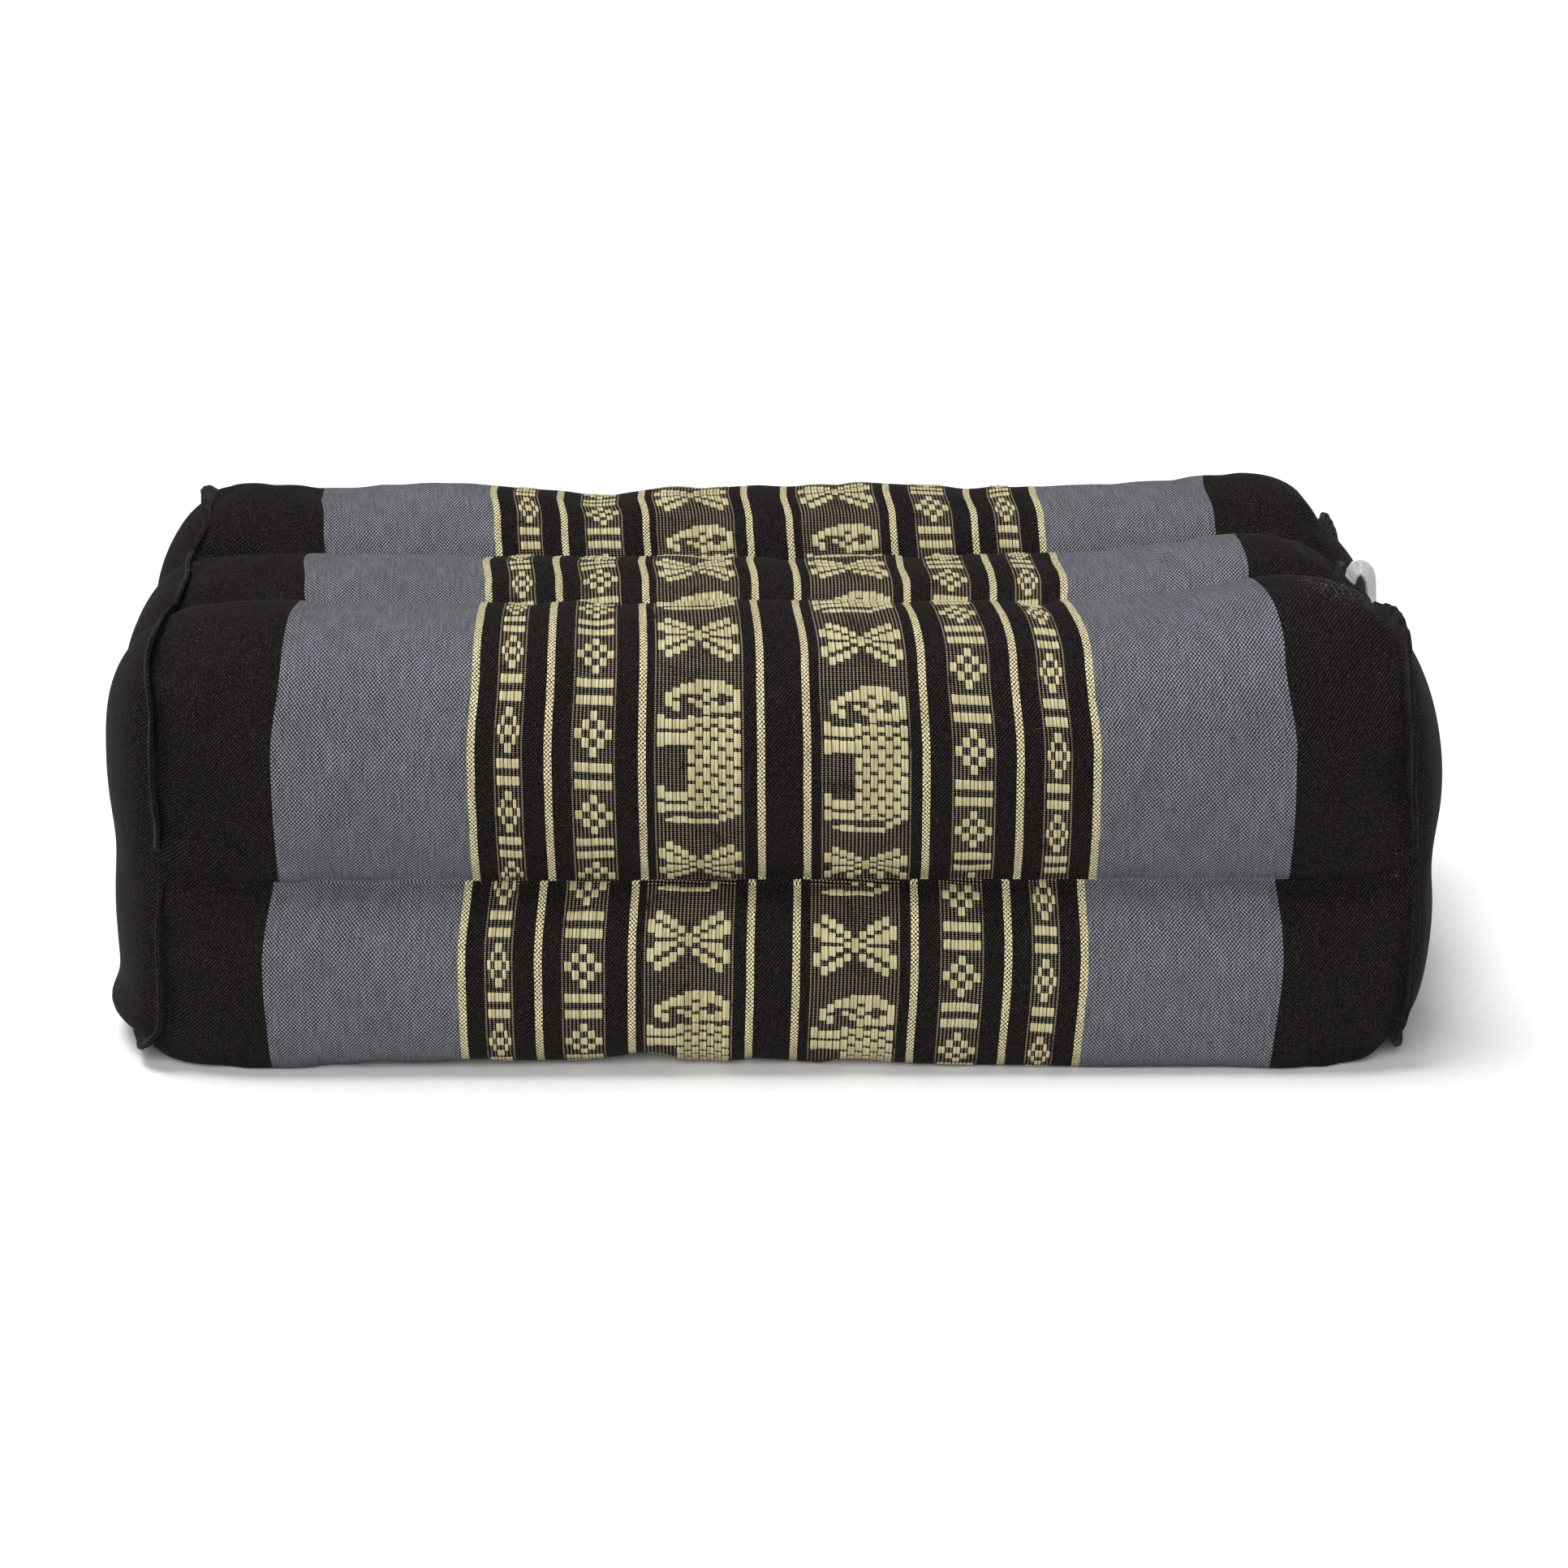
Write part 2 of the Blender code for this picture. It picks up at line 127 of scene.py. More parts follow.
# Where a channel is filled more or less: along X, how widely, and by how much.
Lump = namedtuple("Lump", "channel x spread extra_height")
LUMPS = [Lump(channel, *mm(*sizes)) for channel, *sizes in (
    ("upper_front", 137, 36, 8.2), ("upper_front", -126, 30, 1.0),
    ("upper_middle", 134, 34, 7.0), ("upper_middle", -128, 32, 0.8),
    ("upper_back", 132, 40, 2.0), ("upper_back", 152, 20, 3.6), ("upper_back", -156, 14, 0.8),
    ("upper_back", -96, 24, 1.4), ("upper_back", -52, 22, -1.6), ("upper_back", 24, 26, 1.2),
    ("lower_front", -50, 85, 4.2),
)]

# ---- sizes of the looks

COVER_FIRST_STEP = 0.7 * MM       # spacing of the cover's rings at the rims
COVER_STEP = 1.85 * MM            # the same in the middle
COVER_STEP_GROWTH = 1.1
REST_PLANE = 0.45 * MM            # the flattened underside, clear of the floats below it

UNEVEN_SIZE = 26 * MM             # soft lumps of the filling
UNEVEN_HEIGHT = 0.45 * MM
PUCKER_LENGTH = 7.5 * MM          # spacing of the small gathers along a sewn groove
PUCKER_REACH = 9 * MM             # how far they run out from it
PUCKER_DEPTH = 0.6 * MM
RIM_PUCKER_LENGTH = 6.5 * MM
RIM_PUCKER_REACH = 15 * MM
RIM_PUCKER_DEPTH = 0.95 * MM

PINCH = 2.0 * MM                  # how far the sewn rims draw in, and how wide their valley is
PINCH_SPREAD = 5.5 * MM
RIM_SMOOTHING = 12
RIM_INNER = 4                     # rings in from a rim, whose points give the cover's slope
RIM_SETTLE = 4 * MM               # within this of a rim or a seam, the lumps fade out
SEAM_SETTLE = 6 * MM

YARN = 0.51 * MM                  # pitch of the ground's yarns across the stripes
PICK = 0.58 * MM                  # pitch of its picks along them
FLOAT_YARN = 2 * YARN             # a float covers two ground yarns
FLOAT_WIDTH = 0.95 * MM
FLOAT_HEIGHT = 0.34 * MM
FLOAT_SINK = 0.06 * MM            # how far its underside lies in the cloth
PAIR_DRAW = 0.035 * MM            # how far the two yarns of a pair are drawn together
GROOVE_CLEAR = 2.6 * MM           # no float this near to a sewn groove
SEAM_CLEAR = 0.8 * MM             # the same at the open seams of front and back
FLOAT_CLEAR = 0.05 * MM           # no float lies lower than this
PANEL_CLOTH_AWAY = 0.30           # the panels' cloth lies this far off the pattern's middle

# Cloth zones, in ground yarns out from the middle of the cloth.
STRIPE_YARNS = 4
STRIPE_CENTRES = (12, 74, 123, 163)
GREY_FROM = 165
GREY_TO = 267

# How the cloth lies on each channel: its pick at a given arc from the channel's start, the
# size of a pick there, how far its rows run askew and bow, all in centimetres.
Lay = namedtuple("Lay", "channel pick arc pick_size skew bow")
LAYS = {lay.channel: lay for lay in (
    Lay("upper_front", 0, 2.15, 0.0588, 0.050, 0.0),
    Lay("upper_middle", 77, 1.93, 0.0582, 0.0, 0.005),
    Lay("upper_back", 68, 1.60, 0.0582, 0.0, 0.0),
    Lay("lower_back", 20, 0.0, 0.0600, 0.02, 0.0),
    Lay("lower_middle", 60, 0.0, 0.0600, 0.02, 0.0),
    Lay("lower_front", 68, 8.54, 0.0590, 0.034, 0.0015),
)}
SKEW_ORIGIN = -2.38               # where along X the picks above are read, in centimetres
CLOTH_OFFSET = -0.234             # how far the cloth's middle lies off the ends' middle

# How tightly the cloth is gathered across its stripes, and how far it is shifted, at places
# along each channel's arc: (arc, gather, shift), in centimetres, but gather is a share.
GATHERS = {
    "upper_front": ((0, 0.990, 0.15), (4.0, 0.989, 0.13), (6.5, 0.967, 0.09),
                    (10.4, 0.937, -0.12), (12.9, 0.945, 0.0)),
    "upper_middle": ((0, 0.945, 0.0), (1.7, 0.96, -0.03), (3.4, 0.962, -0.17), (6.5, 0.945, -0.1)),
    "upper_back": ((0, 0.945, -0.1), (1.7, 0.947, -0.19), (3.2, 0.949, -0.36), (9.0, 0.99, -0.2),
                   (13.3, 0.98, -0.15)),
    "lower_back": ((0, 0.98, -0.15), (3.5, 1.0, -0.2), (7.0, 0.98, -0.28), (12.0, 0.97, -0.28)),
    "lower_middle": ((0, 0.97, -0.28), (7.2, 0.97, -0.28)),
    "lower_front": ((0, 0.98, -0.28), (6.3, 0.990, -0.23), (9.3, 0.999, -0.165),
                    (11.9, 0.983, -0.11)),
}


# ---- the ring of lobes

CHANNEL_STARTS = np.cumsum([0] + [channel.steps for channel in CHANNELS[:-1]])
RING_COUNT = sum(channel.steps for channel in CHANNELS)


def unit(vectors):
    """Vectors of length 1."""
    return vectors / np.maximum(np.linalg.norm(vectors, axis=-1, keepdims=True), 1e-12)


def run_length(points):
    """Distances of a line's points from its start, along it."""
    return np.concatenate([[0], np.cumsum(np.linalg.norm(np.diff(points, axis=0), axis=1))])


def end_of(side):
    return ENDS[0] if side < 0 else ENDS[1]


def bell(gap, spread):
    """A bell curve: 1 at no gap, near 0 beyond twice the spread."""
    return np.exp(-(gap / spread) ** 2)


def superellipse_radius(angle, half_width, half_height, squareness):
    across = np.abs(np.cos(angle) / half_width) ** squareness
    up = np.abs(np.sin(angle) / half_height) ** squareness
    return (across + up) ** (-1 / squareness)


def lobe_points(channel, share, outline, crest, start, finish):
    """Y and Z of points of one lobe. Share and crest are arrays of one shape."""
    middle_y = channel.column * CHANNEL_PITCH
    middle_z = UPPER_LAYER_Z if channel.layer > 0 else LOWER_LAYER_Z
    outer_height = np.abs(crest - middle_z)
    first = atan2(start[1] - middle_z, start[0] - middle_y)
    last = atan2(finish[1] - middle_z, finish[0] - middle_y)
    while last > first:
        last -= 2 * pi

    def radius(angle):
        outward = channel.column * np.cos(angle) > 0
        half_width = np.where(outward, outline.outer_width, outline.inner_width)
        outer = channel.layer * np.sin(angle) > 0
        half_height = np.where(outer, outer_height, outline.inner_height)
        squareness = np.where(outer, outline.outer_square, outline.inner_square)
        return superellipse_radius(angle, half_width, half_height, squareness)

    angle = first + (last - first) * share
    start_gap = hypot(start[0] - middle_y, start[1] - middle_z) - radius(first)
    finish_gap = hypot(finish[0] - middle_y, finish[1] - middle_z) - radius(last)
    reach = (radius(angle) + start_gap * (1 - share) ** SEAM_FALLOFF
             + finish_gap * share ** SEAM_FALLOFF)
    return middle_y + reach * np.cos(angle), middle_z + reach * np.sin(angle)


def channel_shares(channel):
    """Shares of the points along a lobe, closer at its seams and at its corner."""
    waves = 2 if channel.column else 1
    even = np.arange(channel.steps) / channel.steps
    return even - CLUSTERING / (2 * pi * waves) * np.sin(2 * pi * waves * even)


def channel_seams(channel):
    """The seams at a channel's start and end."""
    index = CHANNELS.index(channel)
    return SEAMS[index], SEAMS[(index + 1) % len(SEAMS)]


def channel_places(channel):
    """A channel's places in the ring, from its first seam to its last."""
    first = CHANNEL_STARTS[CHANNELS.index(channel)]
    return (first + np.arange(channel.steps + 1)) % RING_COUNT


def rim_top(side, y):
    """Height of the rim's upper edge at y."""
    end = end_of(side)
    beside = np.where(y < 0, end.top_front, end.top_back)
    return end.top_middle + (beside - end.top_middle) * np.minimum(1, np.abs(y) / CHANNEL_PITCH)


def rim_seam_z(seam, side):
    if seam.rim_z is None:
        return float(rim_top(side, seam.rim_y)) - RIM_GROOVE_DEPTH
    return seam.rim_z


def end_reach(side, y, z):
    """How far the end reaches along X at y and z: the rim, and the puffed panel inside it."""
    end = end_of(side)
    lean = end.lean + (end.back_lean - end.lean) * (y + RIM_HALF_DEPTH) / (2 * RIM_HALF_DEPTH)
    reach = end.half_length - lean * (z / RIM_CORNER_Z) ** 2
    for seam in SEAMS:
        gap = np.hypot(y - seam.rim_y, z - rim_seam_z(seam, side))
        pull = end.layer_pull if seam.name in LAYER_SEAMS else GROOVE_PULL
        reach = reach - pull * bell(gap, SEAM_PULL_RADIUS)
    for corner_z, out in ((RIM_BASE_Z, end.lower_out), (RIM_CORNER_Z, end.upper_out)):
        gap = np.hypot(np.abs(y) - RIM_HALF_DEPTH, z - corner_z)
        reach = reach + out * bell(gap, EAR_RADIUS)
    middle_z = (RIM_BASE_Z + rim_top(side, y)) / 2
    across = np.minimum(1, np.abs(y) / RIM_HALF_DEPTH)
    up = np.minimum(1, np.abs(z - middle_z) / (middle_z - RIM_BASE_Z))
    up_power = np.where(z > middle_z, end.top_power, end.sag_power)
    dome = (1 - across ** END_DOME_POWER) * (1 - up ** up_power)
    trough = np.maximum(COLUMN_TROUGH * bell(np.abs(y) - CHANNEL_PITCH / 2, END_TROUGH_WIDTH),
                        end.layer_trough * bell(z - LAYER_SEAM_Z, END_TROUGH_WIDTH))
    sag = end.sag * bell(z - SAG_Z, SAG_SPREAD) * (1 - across ** END_DOME_POWER)
    high = np.clip((z - LAYER_SEAM_Z) / (2 * END_TROUGH_WIDTH) + 0.5, 0, 1)
    puff = end.lower_puff + (end.puff - end.lower_puff) * high * high * (3 - 2 * high)
    if side > 0:
        gap = np.hypot(y - TAG_DENT_PLACE[0], z - TAG_DENT_PLACE[1])
        reach = reach - TAG_DENT * bell(gap, TAG_DENT_SPREAD)
    return reach + puff * dome * (1 - trough) + sag


def end_points(side, y, z):
    return np.stack([side * end_reach(side, y, z), y, z], axis=-1)


def rim_ring(side):
    """All points of the rim, in ring order."""
    parts = []
    for channel in CHANNELS:
        start, finish = channel_seams(channel)
        crest = (float(rim_top(side, channel.column * CHANNEL_PITCH))
                 if channel.layer > 0 else RIM_BASE_Z)
        y, z = lobe_points(channel, channel_shares(channel), RIM_OUTLINES[channel.layer], crest,
                           (start.rim_y, rim_seam_z(start, side)),
                           (finish.rim_y, rim_seam_z(finish, side)))
        parts.append(end_points(side, y, z))
    return np.concatenate(parts)


def filling(channel, x):
    """How far a channel's filling lifts its crest at x."""
    extra = np.zeros_like(x)
    for lump in LUMPS:
        if lump.channel == channel.name:
            extra = extra + lump.extra_height * bell(x - lump.x, lump.spread)
    return extra


def cover_half(side, distances):
    """Rings of the cover at these distances in from one rim: an array ring, place, xyz."""
    rim = rim_ring(side)
    distances = np.asarray(distances)[:, None]
    x = rim[None, :, 0] * (1 - distances / end_of(side).half_length)
    full = 1 - (1 - np.minimum(1, distances / END_TAPER)) ** end_of(side).fullness
    y = np.empty_like(x)
    z = np.empty_like(x)
    for channel, first in zip(CHANNELS, CHANNEL_STARTS):
        start, finish = channel_seams(channel)
        here = slice(first, first + channel.steps)
        share = np.broadcast_to(channel_shares(channel), x[:, here].shape)
        y[:, here], z[:, here] = lobe_points(
            channel, share, MIDDLE_OUTLINES[channel.layer],
            channel.crest + filling(channel, x[:, here]),
            (start.middle_y, start.middle_z), (finish.middle_y, finish.middle_z))
    y = rim[None, :, 1] + (y - rim[None, :, 1]) * full
    z = rim[None, :, 2] + (z - rim[None, :, 2]) * full
    return np.stack([x, y, np.maximum(0, z)], axis=-1)


def ring_distances(half_length):
    """Distances in from a rim, close together at first and even towards the middle."""
    distances = [0.0]
    step = COVER_FIRST_STEP
    while distances[-1] + step < half_length - 0.5 * COVER_STEP:
        distances.append(distances[-1] + step)
        step = min(COVER_STEP, step * COVER_STEP_GROWTH)
    return distances


def cover_grid():
    """The cover's points as an array ring, place, xyz, from the left rim to the right one."""
    left, right = (cover_half(end.side, ring_distances(end.half_length)) for end in ENDS)
    middle = sum(cover_half(end.side, [end.half_length]) for end in ENDS) / 2
    return np.concatenate([left, middle, right[::-1]])


PANEL_ROWS = CHANNELS[0].steps
PANEL_COLUMNS = CHANNELS[0].steps + CHANNELS[1].steps
FIRST_CORNER = CHANNELS[0].steps // 2


def panel_numbers():
    """Which rim point each border point of an end panel is; -1 inside."""
    numbers = np.full((PANEL_ROWS + 1, PANEL_COLUMNS + 1), -1)
    rows = np.arange(PANEL_ROWS + 1)
    columns = np.arange(PANEL_COLUMNS + 1)
    numbers[0, :] = FIRST_CORNER + 2 * PANEL_COLUMNS + PANEL_ROWS - columns
    numbers[:, 0] = (FIRST_CORNER - PANEL_ROWS + rows) % RING_COUNT
    numbers[:, -1] = FIRST_CORNER + PANEL_COLUMNS + PANEL_ROWS - rows
    numbers[-1, :] = FIRST_CORNER + columns
    return numbers


def panel_grid(rim, side):
    """Points of an end panel spread between its borders and puffed out."""
    numbers = panel_numbers()
    bottom, top = rim[numbers[0]], rim[numbers[-1]]
    front, back = rim[numbers[:, 0]], rim[numbers[:, -1]]
    up = ((front[:, 2] - front[0, 2]) / (front[-1, 2] - front[0, 2]))[:, None, None]
    across = ((top[:, 1] - top[0, 1]) / (top[-1, 1] - top[0, 1]))[None, :, None]
    corners = ((bottom[0] * (1 - up) + top[0] * up) * (1 - across)
               + (bottom[-1] * (1 - up) + top[-1] * up) * across)
    spread = (bottom[None] * (1 - up) + top[None] * up
              + front[:, None] * (1 - across) + back[:, None] * across - corners)
    grid = end_points(side, spread[..., 1], spread[..., 2])
    border = numbers >= 0
    grid[border] = rim[numbers[border]]
    return grid


# ---- how the cloth lies

def cloth_fit(channel, arc):
    """The cloth's gather and its shift at an arc, levelling out at each row of the table."""
    rows = np.array(GATHERS[channel.name])
    arcs = rows[:, 0] * CM
    index = np.clip(np.searchsorted(arcs, arc, side="right") - 1, 0, len(arcs) - 2)
    share = np.clip((arc - arcs[index]) / (arcs[index + 1] - arcs[index]), 0, 1)
    share = share * share * (3 - 2 * share)
    gather, shift = (rows[index, k] + (rows[index + 1, k] - rows[index, k]) * share
                     for k in (1, 2))
    return gather, (shift + CLOTH_OFFSET) * CM


def row_offset(lay, x):
    """How far a row of picks is ahead at x, from its skew and bow."""
    return lay.skew * (x - SKEW_ORIGIN * CM) + lay.bow * x * x / CM


def cloth_pick(channel, arc, x):
    """Pick of the cloth at x and arc."""
    lay = LAYS[channel.name]
    return lay.pick + (arc - lay.arc * CM + row_offset(lay, x)) / (lay.pick_size * CM)


def channel_arcs(grid):
    """Arc lengths from each channel's start, measured round the middle of the cushion."""
    ring = grid[grid.shape[0] // 2, :, 1:]
    return {channel.name: run_length(ring[channel_places(channel)]) for channel in CHANNELS}


# ---- unevenness

def grid_normals(grid):
    """Unit normals of the cover's grid, pointing out."""
    along = np.gradient(grid, axis=0)
    around = (np.roll(grid, -1, axis=1) - np.roll(grid, 1, axis=1)) / 2
    return unit(np.cross(along, around))


def noise_field(points, seed):
    """Smooth noise between about -1 and 1 at each point of an array."""
    flat = points.reshape(-1, 3)
    values = [noise.noise(Vector((p[0], p[1], p[2] + seed))) for p in flat.tolist()]
    return np.array(values).reshape(points.shape[:-1])


def seam_distances(arcs):
    """Arc distance of each ring point from the nearest sewn seam, and that seam's number."""
    distance = []
    number = []
    for index, channel in enumerate(CHANNELS):
        arc = arcs[channel.name][:-1]
        total = arcs[channel.name][-1]
        distance.append(np.minimum(arc, total - arc))
        number.append(np.where(arc < total / 2, index, (index + 1) % len(SEAMS)))
    return np.concatenate(distance), np.concatenate(number)


def pucker(along, row, gap, reach, seed):
    """Noise that runs along a seam and dies out away from it, different for each row."""
    place = np.stack(np.broadcast_arrays(along, row, gap / (3 * reach)), axis=-1)
    return noise_field(place, seed) * bell(gap, reach)


def uneven_cover(grid, arcs, folds):
    """The cover with its folds, soft lumps, gathers along its seams, and a flat underside."""
    normals = grid_normals(grid)
    lumps = noise_field(grid / UNEVEN_SIZE, 3.0)
    seam_gap, seam_number = seam_distances(arcs)
    x = grid[..., 0]
    rim_gap = np.minimum(np.abs(x[0][None] - x), np.abs(x[-1][None] - x))
    puckers = pucker(x / PUCKER_LENGTH, seam_number * 7.3, seam_gap[None], PUCKER_REACH, 11.0)
    rim_puckers = pucker(run_length(grid[0, :, 1:]) / RIM_PUCKER_LENGTH, np.sign(x) * 5.1,
                         rim_gap, RIM_PUCKER_REACH, 23.0)
    settle = np.minimum(1, rim_gap / RIM_SETTLE)
    near_seam = np.minimum(1, seam_gap / SEAM_SETTLE)[None]
    offset = (lumps * UNEVEN_HEIGHT * near_seam * settle + puckers * PUCKER_DEPTH * settle
              + rim_puckers * RIM_PUCKER_DEPTH * settle)
    moved = grid + normals * (offset + folds)[..., None]
    moved[..., 2] = np.maximum(moved[..., 2], REST_PLANE)
    return moved


def rim_line(grid, side):
    """The points of one rim and their directions along the ring."""
    rim = grid[0] if side < 0 else grid[-1]
    return rim, unit(np.roll(rim, -1, axis=0) - np.roll(rim, 1, axis=0))


def rim_directions(grid, side):
    """Where the sewn rim points: halfway between the cover's and the panel's normals."""
    rim, along = rim_line(grid, side)
    inner = grid[RIM_INNER] if side < 0 else grid[-1 - RIM_INNER]
    inward = unit(np.stack([0 * along[:, 0], along[:, 2], -along[:, 1]], axis=-1)) * PROBE
    to_panel = end_points(side, rim[:, 1] + inward[:, 1], rim[:, 2] + inward[:, 2]) - rim
    cover_normal = unit(np.cross(along, inner - rim)) * side
    panel_normal = unit(np.cross(to_panel, along)) * side
    direction = unit(cover_normal + panel_normal)
    for _ in range(RIM_SMOOTHING):
        direction = unit(np.roll(direction, 1, axis=0) + 2 * direction
                         + np.roll(direction, -1, axis=0))
    return direction


def pinch_rims(grid, panels):
    """Draws the rims in, so that each is the bottom of a valley between cover and panel."""
    pinched = grid.copy()
    pinched_panels = []
    for side, panel in panels:
        rim, _ = rim_line(grid, side)
        pull = -rim_directions(grid, side) * PINCH
        near = bell(np.abs(grid[..., 0] - rim[None, :, 0]), PINCH_SPREAD)[..., None]
        pinched += pull[None] * near
        away = np.linalg.norm(panel[:, :, None] - rim[None, None], axis=-1)
        nearest = away.argmin(axis=-1)
        near = bell(away.min(axis=-1), PINCH_SPREAD)[..., None]
        pinched_panels.append((side, panel + pull[nearest] * near))
    for points in [pinched] + [panel for _, panel in pinched_panels]:
        points[..., 2] = np.maximum(points[..., 2], REST_PLANE)
    return pinched, pinched_panels


# ---- mesh helpers

def add_mesh(name, points, faces, mat, uvs=None):
    """A smooth-shaded object from arrays of points and faces, uvs given for each corner."""
    mesh = bpy.data.meshes.new(name)
    points = np.asarray(points, dtype=np.float32)
    faces = np.asarray(faces, dtype=np.int32)
    corners = faces.shape[1]
    mesh.vertices.add(len(points))
    mesh.vertices.foreach_set("co", points.ravel())
    mesh.loops.add(faces.size)
    mesh.loops.foreach_set("vertex_index", faces.ravel())
    mesh.polygons.add(len(faces))
    mesh.polygons.foreach_set("loop_start", np.arange(0, faces.size, corners, dtype=np.int32))
    if uvs is not None:
        layer = mesh.uv_layers.new(name="cloth")
        layer.data.foreach_set("uv", np.asarray(uvs, dtype=np.float32).ravel())
    mesh.update(calc_edges=True)
    mesh.validate()
    mesh.shade_smooth()
    if mat is not None:
        mesh.materials.append(mat)
    obj = bpy.data.objects.new(name, mesh)
    bpy.context.scene.collection.objects.link(obj)
    return obj


def cell_corners(grid):
    """The four corners of each cell of a grid of numbers or points, in order round it."""
    cells = np.stack([grid[:-1, :-1], grid[1:, :-1], grid[1:, 1:], grid[:-1, 1:]], axis=2)
    return cells.reshape(-1, 4, *grid.shape[2:])


def grid_quads(rows, columns, wrap=False):
    """Quads of a grid of points numbered row by row; wrap closes each row into a ring."""
    numbers = np.arange(rows * columns).reshape(rows, columns)
    if wrap:
        numbers = np.append(numbers, numbers[:, :1], axis=1)
    return cell_corners(numbers)


# ---- cloth simulation

SIM_RING_STEP = 2                 # of the cover's rings and places, which are simulated
SIM_PLACE_STEP = 3
SIM_FRAMES = 22
# The cloth is cut a little larger than it is sewn: that is the shrink below zero.
SIM_CLOTH = {"quality": 6, "mass": 0.15, "tension_stiffness": 25, "compression_stiffness": 25,
             "shear_stiffness": 10, "bending_stiffness": 0.15, "use_pressure": True,
             "uniform_pressure_force": 4.0, "shrink_min": -0.045, "vertex_group_mass": "pins"}
SIM_CAP = 1.7 * MM                # how far a fold may move the cover
SIM_BROAD = 9                     # passes of smoothing that find the broad swelling
SIM_FINAL = 2                     # passes that smooth the folds between the simulated points


def smoothed(values, passes):
    """A grid blurred along its rings and round them, its first and last rings kept."""
    for _ in range(passes):
        values = (np.roll(values, 1, axis=1) + 2 * values + np.roll(values, -1, axis=1)) / 4
        values[1:-1] = (values[:-2] + 2 * values[1:-1] + values[2:]) / 4
    return values


def blown_up(start, held):
    """A grid of points under pressure as cloth, closed into a tube and pinned where held."""
    trial = add_mesh("cloth_trial", start.reshape(-1, 3), grid_quads(*held.shape, wrap=True), None)
    pins = trial.vertex_groups.new(name="pins")
    pins.add(np.flatnonzero(held.ravel()).tolist(), 1.0, "REPLACE")
    cloth = trial.modifiers.new("cloth", "CLOTH")
    for name, value in SIM_CLOTH.items():
        setattr(cloth.settings, name, value)
    cloth.settings.effector_weights.gravity = 0
    cloth.collision_settings.use_collision = False
    cloth.point_cache.frame_start = 1
    cloth.point_cache.frame_end = SIM_FRAMES
    scene = bpy.context.scene
    for number in range(1, SIM_FRAMES + 1):
        scene.frame_set(number)
    result = trial.evaluated_get(bpy.context.evaluated_depsgraph_get()).to_mesh()
    end = np.empty(len(result.vertices) * 3)
    result.vertices.foreach_get("co", end)
    scene.frame_set(1)
    bpy.data.objects.remove(trial, do_unlink=True)
    return end.reshape(start.shape)


def simulated_folds(grid):
    """Heights of the folds that the cover makes when it is blown up between its seams.

    A coarser copy of the cover, held at its seams and rims, is simulated. Its broad swelling
    is left out, since the lobes have that already.
    """
    rings = np.unique(np.append(np.arange(0, grid.shape[0], SIM_RING_STEP), grid.shape[0] - 1))
    places = np.arange(0, RING_COUNT, SIM_PLACE_STEP)
    start = grid[np.ix_(rings, places)]
    held = np.zeros(start.shape[:2], dtype=bool)
    held[[0, -1]] = True
    held[:, CHANNEL_STARTS // SIM_PLACE_STEP] = True
    height = ((blown_up(start, held) - start) * grid_normals(start)).sum(axis=-1)
    folds = height - smoothed(height, SIM_BROAD)
    folds = SIM_CAP * np.tanh(folds / SIM_CAP)
    across = np.array([np.interp(np.arange(grid.shape[0]), rings, column) for column in folds.T])
    around = np.arange(RING_COUNT) / SIM_PLACE_STEP
    closed = np.append(across, across[:1], axis=0)
    fine = np.array([np.interp(around, np.arange(len(places) + 1), row) for row in closed.T])
    return smoothed(fine, SIM_FINAL)


# ---- material helpers

